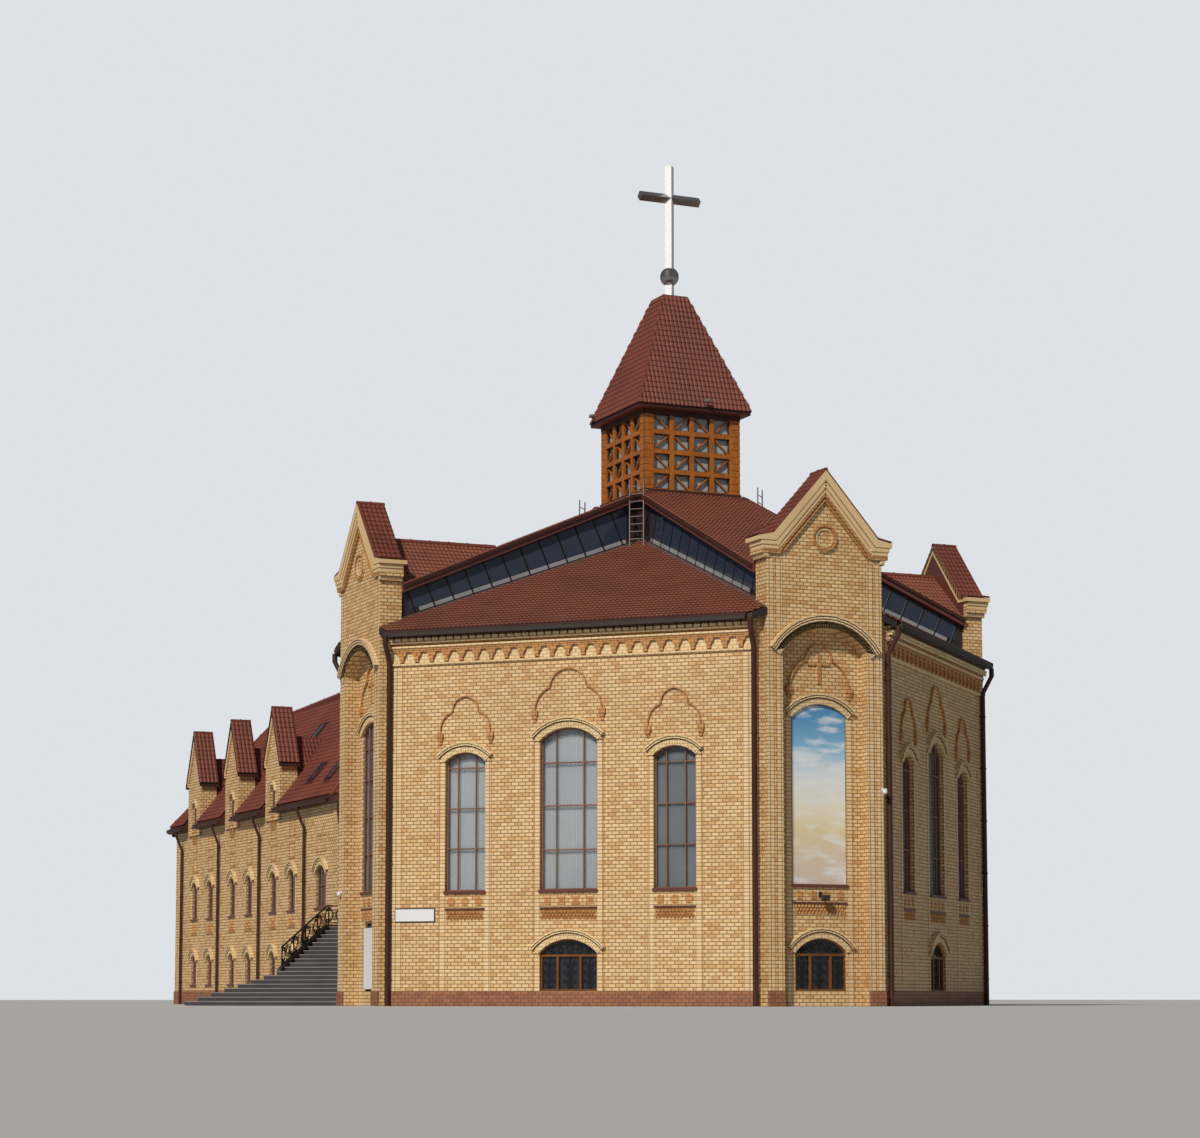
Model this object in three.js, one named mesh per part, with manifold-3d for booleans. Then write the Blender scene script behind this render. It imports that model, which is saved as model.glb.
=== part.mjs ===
// A modern brick church at 1:2: an eight-sided hall with four gabled bays, a glazed lantern tower with
// a cross, and a long wing with wall gables. Up is +Z, the wing lies towards +Y, and the origin is
// under the tower, at the lowest ground.
import * as THREE from 'three';
import { mergeVertices } from 'three/addons/utils/BufferGeometryUtils.js';
import Module from 'manifold-3d';

const wasm = await Module();
wasm.setup();

// Sizes are real ones in metres, and M turns them into millimetres of the 1:2 model
const M = 500;
const GAP = 0.0008;
const ROOT2 = Math.SQRT2;
const QUARTER = Math.PI / 2;

// The hall stands on higher ground than the foot of the stair, and heights count from there
const BASE = 0.6;
const MAIN_FLOOR = BASE + 3.06;
const SLAB = 0.3;

// Plan of the hall: bays on the axes, wide walls between them
const BAY_HALF = 2.62;
const BAY_FACE = 14.70;
const BAY_BACK = 13.75;
const WALL_FACE = 12.197;
const WALL_THICK = 0.60;
const WALL_STOP = 14.35;
const ARM_HALF = 2.40;

// Roofs of the hall: slopes as rise over run
const EAVES_OUT = 12.75;
const LOWER_APEX = BASE + 19.85;
const LOWER_SLOPE = 0.518;
const LOWER_DEPTH = 0.28;
const UPPER_TOP = BASE + 22.0;
const UPPER_SLOPE = 0.43;
const UPPER_DEPTH = 0.32;
const VERGE = 2.75;
const SADDLE_RIDGE = BASE + 19.4;
const SADDLE_END = 7.4;

// Gables of the bays
const KNEELER_BOTTOM = BASE + 17.30;
const KNEELER_TOP = BASE + 17.95;
const KNEELER_HALF = 2.86;
const KINK = 2.25;
const GABLE_PEAK = BASE + 20.55;

// Windows: half width, sill, springing and rise of the segmental head
const SIDE_WINDOW = { half: 0.90, sill: BASE + 4.10, spring: BASE + 9.50, rise: 0.36 };
const MIDDLE_WINDOW = { half: 1.25, sill: BASE + 4.10, spring: BASE + 10.24, rise: 0.50 };
const LOW_WINDOW = { half: 1.25, sill: BASE + 0.02, spring: BASE + 1.58, rise: 0.53 };
const BAY_WINDOW = { half: 1.23, sill: BASE + 4.24, spring: BASE + 11.02, rise: 0.50 };
const BAY_LOW_WINDOW = { half: 1.14, sill: BASE + 0.02, spring: BASE + 1.58, rise: 0.53 };
const BAY_LOW_DOORWAY = { half: 1.24, sill: BASE + 0.02, spring: BASE + 2.97, rise: 0.02 };
const WINDOW_SPACING = 4.60;
const HOOD_WIDTH = 0.28;
const HOOD_OUT = 0.07;
const GLASS_IN = 0.26;
const GLASS_THICK = 0.04;

// Recess of a bay
const RECESS_HALF = 1.90;
const RECESS_DEPTH = 0.60;
const RECESS_SPRING = BASE + 13.60;
const RECESS_RISE = 0.92;

// Tower and cross
const TOWER_HALF = 2.35;
const TOWER_WALL = 0.22;
const TOWER_TOP = BASE + 25.75;
const TOWER_POST = 0.48;
const TOWER_PANES = 4;
const TOWER_BAR = 0.20;
const SPIRE_EAVES_HALF = 2.72;
const SPIRE_TOP_HALF = 0.565;
const SPIRE_TOP = BASE + 31.45;
const CROSS_TOP = BASE + 37.65;
const CROSS_BAR = BASE + 36.12;
const CROSS_HALF = 1.50;
const CROSS_SIDE = 0.26;
const BALL_CENTRE = BASE + 32.48;
const BALL_RADIUS = 0.42;

// Wing: a broad block with a mansard roof, its corners to the hall cut at 45 degrees
const WING_HALF = 11.30;
const WING_END = 42.20;
const WING_WALL = 0.50;
const WING_CORNER = 13.10;
const WING_EAVES = BASE + 9.0;
const WING_OVERHANG = 0.40;
const MANSARD_RUN = 4.90;
const MANSARD_RISE = 6.05;
const TOP_SLOPE = 0.46;
const EAVES_BOARD = 0.25;
const ATTIC_FLOOR = BASE + 8.70;
const GABLE_PLACES = [23.4, 30.8, 38.2];
const PAIR_SPACING = 3.1;
const PORCH_WINDOW_PLACE = 15.6;
const WING_WINDOW = { half: 0.55, sill: BASE + 4.06, spring: BASE + 5.75, rise: 0.38 };
const WIDE_WINDOW = { half: 0.80, sill: BASE + 4.06, spring: BASE + 5.70, rise: 0.43 };
const WING_LOW_WINDOW = { half: 0.50, sill: BASE + 0.45, spring: BASE + 1.75, rise: 0.36 };
const ATTIC_WINDOW = { half: 0.40, sill: BASE + 9.20, spring: BASE + 10.20, rise: 0.35 };

// Wall gables of the wing
const DORMER_HALF = 1.25;
const DORMER_FRONT = 11.40;
const DORMER_BACK = 10.50;
const DORMER_EAVES = BASE + 11.75;
const DORMER_PEAK = BASE + 14.15;
const DORMER_RIDGE = BASE + 14.45;
const LINK_RIDGE = BASE + 12.95;
const LINK_SLOPE = 1.40;

// Entrance stair, in the frame of the wall that holds the door
const STAIR_WIDTH = 5.0;
const RISERS_LOW = 7;
const RISERS_HIGH = 12;
const GOING = 0.43;
const STAIR_TOP = 0.354;
const RISE = MAIN_FLOOR / (RISERS_LOW + RISERS_HIGH);
const DOOR = { half: 1.20, sill: MAIN_FLOOR, spring: MAIN_FLOOR + 2.3, rise: 0.50 };
const PORCH_FACE = (WING_CORNER - WING_HALF) / ROOT2;

const finish = {
  brick: { color: '#cfa865', roughness: 0.85, metalness: 0 },
  stone: { color: '#e3cf9a', roughness: 0.8, metalness: 0 },
  tile: { color: '#7d3a2a', roughness: 0.6, metalness: 0 },
  glass: { color: '#5c6a74', roughness: 0.15, metalness: 0 },
  frame: { color: '#2e2320', roughness: 0.5, metalness: 0.3 },
  timber: { color: '#9a5a22', roughness: 0.55, metalness: 0 },
  steel: { color: '#c9ccd0', roughness: 0.25, metalness: 1 },
  granite: { color: '#4b4548', roughness: 0.7, metalness: 0 },
  iron: { color: '#1d1b1c', roughness: 0.5, metalness: 0.7 },
  concrete: { color: '#9b9892', roughness: 0.9, metalness: 0 },
};

const part = new THREE.Group();

// Basic solids, all given in metres of the real building

function shapeOf(outline, holes) {
  const shape = new THREE.Shape(outline.map(([x, y]) => new THREE.Vector2(x * M, y * M)));
  for (const hole of holes) {
    shape.holes.push(new THREE.Path(hole.map(([x, y]) => new THREE.Vector2(x * M, y * M))));
  }
  return shape;
}

function solid(geometry) {
  geometry.deleteAttribute('normal');
  geometry.deleteAttribute('uv');
  const merged = mergeVertices(geometry, 0.01);
  const mesh = new wasm.Mesh({
    numProp: 3,
    vertProperties: merged.attributes.position.array,
    triVerts: Uint32Array.from(merged.index.array),
  });
  return new wasm.Manifold(mesh);
}

// A plan outline in x and y, raised from one height to another
function raised(outline, bottom, top, holes = []) {
  const depth = (top - bottom) * M;
  const geometry = new THREE.ExtrudeGeometry(shapeOf(outline, holes), { depth, bevelEnabled: false });
  geometry.translate(0, 0, bottom * M);
  return solid(geometry);
}

// An outline in x and z, run from y = front to y = back
function upright(outline, front, back, holes = []) {
  const depth = (back - front) * M;
  const geometry = new THREE.ExtrudeGeometry(shapeOf(outline, holes), { depth, bevelEnabled: false });
  geometry.rotateX(QUARTER);
  geometry.translate(0, back * M, 0);
  return solid(geometry);
}

// A profile in y and z, run from x = left to x = right
function across(profile, left, right) {
  const depth = (right - left) * M;
  const geometry = new THREE.ExtrudeGeometry(shapeOf(profile, []), { depth, bevelEnabled: false });
  geometry.rotateX(QUARTER);
  geometry.rotateZ(QUARTER);
  geometry.translate(left * M, 0, 0);
  return solid(geometry);
}

function box(x0, x1, y0, y1, z0, z1) {
  return raised([[x0, y0], [x1, y0], [x1, y1], [x0, y1]], z0, z1);
}

function joined(solids) {
  return solids.reduce((whole, next) => whole.add(next));
}

function turned(body, angle) {
  const mesh = body.getMesh();
  const geometry = geometryOf(mesh);
  geometry.rotateZ(angle);
  return solid(geometry);
}

function geometryOf(mesh) {
  const geometry = new THREE.BufferGeometry();
  geometry.setAttribute('position', new THREE.BufferAttribute(Float32Array.from(mesh.vertProperties), 3));
  geometry.setIndex(new THREE.BufferAttribute(Uint32Array.from(mesh.triVerts), 1));
  return geometry;
}

// Adds one named piece, turned about the tower's axis
function place(name, body, look, angle = 0) {
  const geometry = geometryOf(body.getMesh());
  geometry.computeVertexNormals();
  const mesh = new THREE.Mesh(geometry, new THREE.MeshStandardMaterial(finish[look]));
  mesh.name = name;
  mesh.rotation.z = angle;
  part.add(mesh);
}

// Points of a segmental arch from left to right, over a chord of the given half width
function arch(middle, half, spring, rise) {
  const steps = half < 1 ? 6 : 10;
  const radius = (half * half + rise * rise) / (2 * rise);
  const centre = spring + rise - radius;
  const sweep = Math.atan2(half, radius - rise);
  const points = [];
  for (let i = 0; i <= steps; i += 1) {
    const angle = -sweep + (2 * sweep * i) / steps;
    points.push([middle + radius * Math.sin(angle), centre + radius * Math.cos(angle)]);
  }
  return points;
}

function windowOutline(middle, { half, sill, spring, rise }) {
  return [[middle + half, sill], [middle - half, sill], ...arch(middle, half, spring, rise)];
}

function windowHole(middle, opening, front, back) {
  return upright(windowOutline(middle, opening), front, back);
}

// A raised band over a window head, standing out from the wall face
function hood(middle, { half, spring, rise }, face, width = HOOD_WIDTH, out = HOOD_OUT) {
  const inner = arch(middle, half, spring, rise);
  const outer = arch(middle, half + width, spring - 0.05, rise + width + 0.05);
  return upright([...outer, ...inner.reverse()], face - out, face + 0.05);
}

// Height of the lower roof over a point that lies at this distance from the tower's axis
function lowerRoofHeight(distance) {
  return LOWER_APEX - LOWER_SLOPE * (distance - ARM_HALF * ROOT2);
}

function upperRoofHeight(distance) {
  return UPPER_TOP - UPPER_SLOPE * (distance - TOWER_HALF);
}

// Turns a point of the plan into the frame of the wall that faces south-west
function toCorner([x, y]) {
  return [(x - y) / ROOT2, (x + y) / ROOT2];
}

// Wide walls of the hall

function wallBody() {
  const side = BAY_HALF + GAP;
  const inner = (WALL_FACE - WALL_THICK) * ROOT2;
  const outer = WALL_FACE * ROOT2;
  const plan = [
    [-side, -(inner - side)],
    [-side, -WALL_STOP],
    [-(outer - WALL_STOP), -WALL_STOP],
    [-WALL_STOP, -(outer - WALL_STOP)],
    [-WALL_STOP, -side],
    [-(inner - side), -side],
  ];
  const blank = raised(plan.map(toCorner), 0, LOWER_APEX);
  const overWall = lowerRoofHeight(WALL_FACE + 1) - LOWER_DEPTH - GAP;
  const underApex = lowerRoofHeight(0) - LOWER_DEPTH - GAP;
  const sky = across([[-WALL_FACE - 1, overWall], [0, underApex], [0, 40], [-WALL_FACE - 1, 40]], -12, 12);
  return blank.subtract(sky);
}

// Stepped bands under the gutter, as a profile of the height and how far it stands out
function corniceBody(left, right) {
  const steps = [
    [BASE + 13.54, 0.02], [BASE + 13.58, 0.08], [BASE + 13.68, 0.08], [BASE + 13.72, 0.03],
    [BASE + 14.22, 0.03], [BASE + 14.26, 0.12], [BASE + 14.42, 0.12], [BASE + 14.46, 0.20],
    [BASE + 14.58, 0.20], [BASE + 14.60, 0.12], [BASE + 14.74, 0.12], [BASE + 14.76, 0.30],
    [BASE + 14.66 + 0.18, 0.30],
  ];
  const profile = steps.map(([height, out]) => [-WALL_FACE - out, height]);
  profile.push([-WALL_FACE + 0.1, steps[steps.length - 1][0]]);
  profile.push([-WALL_FACE + 0.1, steps[0][0]]);
  return across(profile, left, right);
}

function glassSheet(windows, inside) {
  const spans = windows.map(([middle, opening]) => [
    middle - opening.half, middle + opening.half, opening.sill, opening.spring + opening.rise,
  ]);
  const left = Math.min(...spans.map((span) => span[0])) - 0.06;
  const right = Math.max(...spans.map((span) => span[1])) + 0.06;
  const bottom = Math.max(Math.min(...spans.map((span) => span[2])) - 0.06, 0.05);
  const top = Math.max(...spans.map((span) => span[3])) + 0.06;
  return (spare) => box(left - spare, right + spare, inside - spare, inside + GLASS_THICK + spare,
    bottom - spare, top + spare);
}

// Cuts the windows and a slot for their glass, and sets a hood over each
function fitWindows(wall, windows, face, back, glass) {
  let body = wall;
  for (const [middle, opening] of windows) {
    body = body.add(hood(middle, opening, face));
  }
  for (const [middle, opening] of windows) {
    body = body.subtract(windowHole(middle, opening, face - 0.5, back));
  }
  return body.subtract(glass(GAP));
}

function wideWall(name, angle, windows, corniceLeft, corniceRight) {
  const glass = glassSheet(windows, -WALL_FACE + GLASS_IN);
  const wall = wallBody().add(corniceBody(corniceLeft, corniceRight));
  const body = fitWindows(wall, windows, -WALL_FACE, -WALL_FACE + WALL_THICK + 0.3, glass);
  place(`wall_${name}`, body, 'brick', angle);
  place(`glass_${name}`, glass(0), 'glass', angle);
}

const CORNICE_END = 8.05;
const CORNICE_STOP = 0.43 - PORCH_FACE;
const HALL_WINDOWS = [
  [-WINDOW_SPACING, SIDE_WINDOW],
  [0, MIDDLE_WINDOW],
  [WINDOW_SPACING, SIDE_WINDOW],
  [0, LOW_WINDOW],
];
wideWall('southwest', -QUARTER / 2, HALL_WINDOWS, -CORNICE_END, CORNICE_END);
wideWall('southeast', QUARTER / 2, HALL_WINDOWS, -CORNICE_END, CORNICE_END);
wideWall('northeast', 3 * QUARTER / 2, [[-WINDOW_SPACING, SIDE_WINDOW]], -CORNICE_END, -CORNICE_STOP);
wideWall('northwest', -3 * QUARTER / 2, [[WINDOW_SPACING, SIDE_WINDOW]], CORNICE_STOP, CORNICE_END);

// Gabled bays with their tall recess

const CIRCLE_CENTRE = BASE + 18.19;
const CIRCLE_RADIUS = 0.60;
const RAKE_HEIGHT = 0.50;
const RAKE_OUT = 0.12;
const RELIEF = { middle: BASE + 12.95, half: 0.50, bar: BASE + 13.16, width: 0.10, reach: 0.62 };

function circle(middle, height, radius, steps = 24) {
  const points = [];
  for (let i = 0; i < steps; i += 1) {
    const angle = (2 * Math.PI * i) / steps;
    points.push([middle + radius * Math.cos(angle), height + radius * Math.sin(angle)]);
  }
  return points;
}

function mirrored(points) {
  return [...points, ...points.filter(([x]) => x !== 0).reverse().map(([x, z]) => [-x, z])];
}

function gableBody() {
  const front = -BAY_FACE;
  const wall = upright(mirrored([
    [BAY_HALF, 0], [BAY_HALF, KNEELER_TOP], [KINK, KNEELER_TOP], [0, GABLE_PEAK],
  ]), front, -BAY_BACK);
  const rake = upright([
    [-KNEELER_HALF, KNEELER_TOP], [-KINK, KNEELER_TOP], [0, GABLE_PEAK], [KINK, KNEELER_TOP],
    [KNEELER_HALF, KNEELER_TOP], [KNEELER_HALF, KNEELER_TOP - RAKE_HEIGHT],
    [KINK - 0.15, KNEELER_TOP - RAKE_HEIGHT], [0, GABLE_PEAK - 0.66],
    [0.15 - KINK, KNEELER_TOP - RAKE_HEIGHT], [-KNEELER_HALF, KNEELER_TOP - RAKE_HEIGHT],
  ], front - RAKE_OUT, front + 0.1);
  const ring = upright(
    circle(0, CIRCLE_CENTRE, CIRCLE_RADIUS), front - 0.06, front + 0.05,
    [circle(0, CIRCLE_CENTRE, CIRCLE_RADIUS - 0.13)],
  );
  const kneelers = [-1, 1].flatMap((side) => [
    [KNEELER_HALF, KNEELER_TOP - RAKE_HEIGHT, KNEELER_TOP, RAKE_OUT],
    [KNEELER_HALF - 0.12, KNEELER_BOTTOM - 0.05, KNEELER_TOP - RAKE_HEIGHT + 0.05, 0.06],
  ].map(([reach, bottom, top, out]) => {
    const ends = [side * (BAY_HALF - 0.1), side * reach].sort((a, b) => a - b);
    return box(ends[0], ends[1], front - out, -BAY_BACK, bottom, top);
  }));
  return joined([wall, rake, ring, ...kneelers]);
}

function bay(name, angle, [lowMiddle, lowOpening]) {
  const face = -BAY_FACE + RECESS_DEPTH;
  const recess = { half: RECESS_HALF, sill: -1, spring: RECESS_SPRING, rise: RECESS_RISE };
  let body = gableBody().add(hood(0, recess, -BAY_FACE, 0.32, 0.10));
  body = body.subtract(upright(windowOutline(0, recess), -BAY_FACE - 1, face));
  body = body.add(box(-RELIEF.width, RELIEF.width, face - 0.05, face + 0.05,
    RELIEF.middle - RELIEF.reach, RELIEF.middle + RELIEF.reach));
  body = body.add(box(-RELIEF.half, RELIEF.half, face - 0.05, face + 0.05,
    RELIEF.bar - RELIEF.width, RELIEF.bar + RELIEF.width));
  const glass = glassSheet([[0, BAY_WINDOW], [lowMiddle, lowOpening]], face + 0.14);
  const back = -BAY_BACK + 0.1;
  body = body.add(hood(0, BAY_WINDOW, face)).subtract(windowHole(0, BAY_WINDOW, face - 0.4, back));
  const hasHood = lowOpening.rise > 0.1;
  if (hasHood) {
    body = body.add(hood(lowMiddle, lowOpening, face));
  }
  body = body.subtract(windowHole(lowMiddle, lowOpening, face - 0.4, back)).subtract(glass(GAP));
  place(`bay_${name}`, body, 'brick', angle);
  place(`glass_bay_${name}`, glass(0), 'glass', angle);
}

bay('south', 0, [0, BAY_LOW_WINDOW]);
bay('east', QUARTER, [0, BAY_LOW_WINDOW]);
bay('west', -QUARTER, [0.47, BAY_LOW_DOORWAY]);

// The north bay stands inside the wing, with a doorway from the hall floor to the wing floor
const PASSAGE = { half: 1.10, sill: MAIN_FLOOR, spring: MAIN_FLOOR + 2.4, rise: 0.45 };
const passageHole = windowHole(0, PASSAGE, -BAY_FACE - 1, -BAY_BACK + 1);
place('bay_north', gableBody().subtract(passageHole), 'brick', 2 * QUARTER);

// Tile roofs on the gables, with their lifted tips

const GABLE_ROOF = { tip: 3.02, tipTop: BASE + 18.12, kinkTop: BASE + 18.26, peak: BASE + 20.95 };

for (const [name, angle] of [['south', 0], ['east', QUARTER], ['north', 2 * QUARTER], ['west', -QUARTER]]) {
  const outline = [
    [-GABLE_ROOF.tip, GABLE_ROOF.tipTop], [-KINK - 0.12, GABLE_ROOF.kinkTop], [0, GABLE_ROOF.peak],
    [KINK + 0.12, GABLE_ROOF.kinkTop], [GABLE_ROOF.tip, GABLE_ROOF.tipTop],
    [GABLE_ROOF.tip, KNEELER_TOP + GAP], [KINK, KNEELER_TOP + GAP], [0, GABLE_PEAK + 2 * GAP],
    [-KINK, KNEELER_TOP + GAP], [-GABLE_ROOF.tip, KNEELER_TOP + GAP],
  ];
  place(`gable_roof_${name}`, upright(outline, -BAY_FACE - 0.22, -BAY_BACK + 0.10), 'tile', angle);
}

// Cross-shaped upper roof: four sloping arms, each with a small saddle behind its gable

function armRoof(spare) {
  const end = BAY_BACK - GAP + spare;
  const curb = 2.0;
  const profile = [
    [-end, upperRoofHeight(end)],
    [-TOWER_HALF, UPPER_TOP],
    [-curb, UPPER_TOP],
    [-curb, UPPER_TOP - UPPER_DEPTH - spare],
    [-TOWER_HALF, UPPER_TOP - UPPER_DEPTH - spare],
    [-end, upperRoofHeight(end) - UPPER_DEPTH - spare],
  ];
  return across(profile, -VERGE, VERGE);
}

function saddle() {
  const end = BAY_BACK - GAP;
  const eaves = upperRoofHeight(end);
  const outer = upright(mirrored([
    [VERGE, eaves - UPPER_DEPTH], [VERGE, eaves], [0, SADDLE_RIDGE],
  ]), -end, -SADDLE_END - 0.4);
  const inner = upright(mirrored([
    [VERGE - 0.3, eaves - 1], [VERGE - 0.3, eaves - 0.09], [0, SADDLE_RIDGE - 0.34],
  ]), -end - 1, -SADDLE_END);
  const underArm = across([
    [-end - 1, upperRoofHeight(end + 1) - UPPER_DEPTH / 2], [0, upperRoofHeight(0) - UPPER_DEPTH / 2],
    [0, 0], [-end - 1, 0],
  ], -VERGE - 1, VERGE + 1);
  return outer.subtract(inner).subtract(underArm);
}

const arms = [0, 1, 2, 3].map((turn) => turned(armRoof(0).add(saddle()), turn * QUARTER));
place('upper_roof', joined(arms), 'tile');

// Lower roofs over the wide walls, each one plane from the gutter to the foot of the tower corner

const GUTTER_LENGTH = 7.85;
const STRIP_HALF = 0.06;

function lowerRoof(spare) {
  const inside = ARM_HALF - STRIP_HALF - spare;
  const end = BAY_BACK - GAP + spare;
  const side = BAY_HALF + GAP;
  const stop = BAY_FACE + 0.05;
  const reach = EAVES_OUT * ROOT2 - stop;
  const half = [[-inside, -end], [-side, -end], [-side, -stop], [-reach, -stop]];
  const plan = [[-inside, -inside], ...half, ...half.reverse().map(([x, y]) => [y, x])];
  const profile = [
    [-EAVES_OUT - 1, lowerRoofHeight(EAVES_OUT + 1) + spare],
    [0, lowerRoofHeight(0) + spare],
    [0, lowerRoofHeight(0) - LOWER_DEPTH],
    [-EAVES_OUT - 1, lowerRoofHeight(EAVES_OUT + 1) - LOWER_DEPTH],
  ];
  return raised(plan.map(toCorner), 0, BASE + 30).intersect(across(profile, -12, 12));
}

function gutter(left, right) {
  const top = lowerRoofHeight(EAVES_OUT) - 0.02;
  return box(left, right, -EAVES_OUT - 0.16, -EAVES_OUT + 0.04, top - 0.24, top);
}

function placeLowerRoof(name, angle, left, right) {
  let body = lowerRoof(0).add(gutter(left, right));
  if (right < GUTTER_LENGTH) {
    body = body.subtract(box(right, 12, -EAVES_OUT - 1, -WALL_FACE, 0, BASE + 30));
  }
  if (left > -GUTTER_LENGTH) {
    body = body.subtract(box(-12, left, -EAVES_OUT - 1, -WALL_FACE, 0, BASE + 30));
  }
  place(`lower_roof_${name}`, body, 'tile', angle);
}

placeLowerRoof('southwest', -QUARTER / 2, -GUTTER_LENGTH, GUTTER_LENGTH);
placeLowerRoof('southeast', QUARTER / 2, -GUTTER_LENGTH, GUTTER_LENGTH);
placeLowerRoof('northeast', 3 * QUARTER / 2, -GUTTER_LENGTH, -CORNICE_STOP);
placeLowerRoof('northwest', -3 * QUARTER / 2, CORNICE_STOP, GUTTER_LENGTH);

// Glazed strips between the lower and the upper roofs, two to a corner, panes and frame in one piece

const PANES = 12;
const PANES_FROM = 13.45;
const PANES_TO = 3.20;
const MULLION = 0.05;
const STRIP_MARGIN = 0.30;
const PANE_HALF = 0.02;

function stripOutline() {
  const end = BAY_BACK - GAP;
  const corner = ARM_HALF + STRIP_HALF;
  const low = (along) => lowerRoofHeight((ARM_HALF + along) / ROOT2) - 0.1;
  const high = (along) => upperRoofHeight(along) - UPPER_DEPTH + 0.1;
  return [[-end, low(end)], [-corner, low(corner)], [-corner, high(corner)], [-end, high(end)]];
}

function paneOutlines() {
  const pitch = (PANES_FROM - PANES_TO) / PANES;
  const sillHeight = (along) => lowerRoofHeight((ARM_HALF + along) / ROOT2) + STRIP_MARGIN;
  const headHeight = (along) => upperRoofHeight(along) - UPPER_DEPTH - STRIP_MARGIN;
  const sillFall = LOWER_SLOPE / ROOT2;
  const outlines = [];
  for (let i = 0; i < PANES; i += 1) {
    const sides = [PANES_FROM - i * pitch - MULLION, PANES_FROM - (i + 1) * pitch + MULLION];
    const foot = sides.map((along) => {
      const drop = (headHeight(along) - sillHeight(along)) / (1 + UPPER_SLOPE * sillFall);
      return [-(along - UPPER_SLOPE * drop), headHeight(along) - drop];
    });
    const head = sides.map((along) => [-along, headHeight(along)]);
    outlines.push([head[0], head[1], foot[1], foot[0]]);
  }
  return outlines;
}

function clerestory() {
  const x = -ARM_HALF;
  const strips = [(reach, holes) => acrossWithHoles(stripOutline(), x - reach, x + reach, holes),
    (reach, holes) => upright(stripOutline(), x - reach, x + reach, holes)];
  const bodies = strips.map((strip) => strip(STRIP_HALF, paneOutlines()).add(strip(PANE_HALF, [])));
  const post = box(x - STRIP_HALF, x + STRIP_HALF, x - STRIP_HALF, x + STRIP_HALF,
    lowerRoofHeight(ARM_HALF * ROOT2) - 0.1, upperRoofHeight(ARM_HALF) - UPPER_DEPTH + 0.1);
  const roofs = armRoof(GAP).add(turned(armRoof(GAP), -QUARTER));
  const body = joined([...bodies, post]).subtract(roofs);
  return turned(body, QUARTER / 2).subtract(lowerRoof(GAP));
}

function acrossWithHoles(profile, left, right, holes) {
  const depth = (right - left) * M;
  const geometry = new THREE.ExtrudeGeometry(shapeOf(profile, holes), { depth, bevelEnabled: false });
  geometry.rotateX(QUARTER);
  geometry.rotateZ(QUARTER);
  geometry.translate(left * M, 0, 0);
  return solid(geometry);
}

for (const [name, turn] of [['southwest', -1], ['southeast', 1], ['northeast', 3], ['northwest', -3]]) {
  place(`clerestory_${name}`, clerestory(), 'frame', (turn * QUARTER) / 2);
}

// Lantern tower

function towerSide(angle) {
  let side = box(-TOWER_HALF, TOWER_HALF, -TOWER_HALF, -TOWER_HALF + TOWER_WALL,
    UPPER_TOP + GAP, TOWER_TOP);
  const pitch = (2 * (TOWER_HALF - TOWER_POST) + TOWER_BAR) / TOWER_PANES;
  const rise = (TOWER_TOP - UPPER_TOP - TOWER_BAR) / TOWER_PANES;
  for (let row = 0; row < TOWER_PANES; row += 1) {
    for (let column = 0; column < TOWER_PANES; column += 1) {
      const left = -TOWER_HALF + TOWER_POST + column * pitch;
      const bottom = UPPER_TOP + TOWER_BAR + row * rise;
      const pane = box(left, left + pitch - TOWER_BAR, -TOWER_HALF - 1, 1 - TOWER_HALF,
        bottom, bottom + rise - TOWER_BAR);
      side = side.subtract(pane);
    }
  }
  return turned(side, angle);
}

function frustum(halfBottom, halfTop, bottom, top) {
  const height = (top - bottom) * M;
  const geometry = new THREE.CylinderGeometry(halfTop * ROOT2 * M, halfBottom * ROOT2 * M, height, 4);
  geometry.rotateX(QUARTER);
  geometry.rotateZ(QUARTER / 2);
  geometry.translate(0, 0, ((top + bottom) / 2) * M);
  return solid(geometry);
}

const glassOut = TOWER_HALF - TOWER_WALL - GAP;
place('tower_frame', joined([0, 1, 2, 3].map((turn) => towerSide(turn * QUARTER))), 'timber');
place('tower_glass', frustum(glassOut, glassOut, UPPER_TOP + GAP, TOWER_TOP - GAP)
  .subtract(frustum(glassOut - GLASS_THICK, glassOut - GLASS_THICK, UPPER_TOP - 1, TOWER_TOP + 1)), 'glass');

const spireEaves = frustum(SPIRE_EAVES_HALF, SPIRE_EAVES_HALF, TOWER_TOP + GAP, TOWER_TOP + 0.16);
const spireShell = frustum(SPIRE_EAVES_HALF, SPIRE_TOP_HALF, TOWER_TOP + 0.16, SPIRE_TOP);
const spireHollow = frustum(2.1, 0.2, TOWER_TOP - 0.5, SPIRE_TOP - 0.6);
place('tower_roof', spireEaves.add(spireShell).subtract(spireHollow), 'tile');

// Cross: square bars turned on edge, over a round ball

function bar(length, side) {
  return new THREE.BoxGeometry(side * M, side * M, length * M);
}

function cross() {
  const foot = SPIRE_TOP + GAP;
  const shaft = bar(CROSS_TOP - foot, CROSS_SIDE);
  shaft.rotateZ(QUARTER / 2);
  shaft.translate(0, 0, ((CROSS_TOP + foot) / 2) * M);
  const arm = bar(2 * CROSS_HALF, CROSS_SIDE);
  arm.rotateZ(QUARTER / 2);
  arm.rotateY(QUARTER);
  arm.translate(0, 0, CROSS_BAR * M);
  const ball = new THREE.SphereGeometry(BALL_RADIUS * M, 16, 10);
  ball.rotateX(QUARTER);
  ball.translate(0, 0, BALL_CENTRE * M);
  return joined([solid(shaft), solid(arm), solid(ball)]);
}

place('cross', cross(), 'steel');

// Ladder at the tower corner over the entrance side of the roof

const LADDER = { half: 0.30, rail: 0.05, distance: 4.28, top: BASE + 22.4, rungs: 8 };

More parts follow.
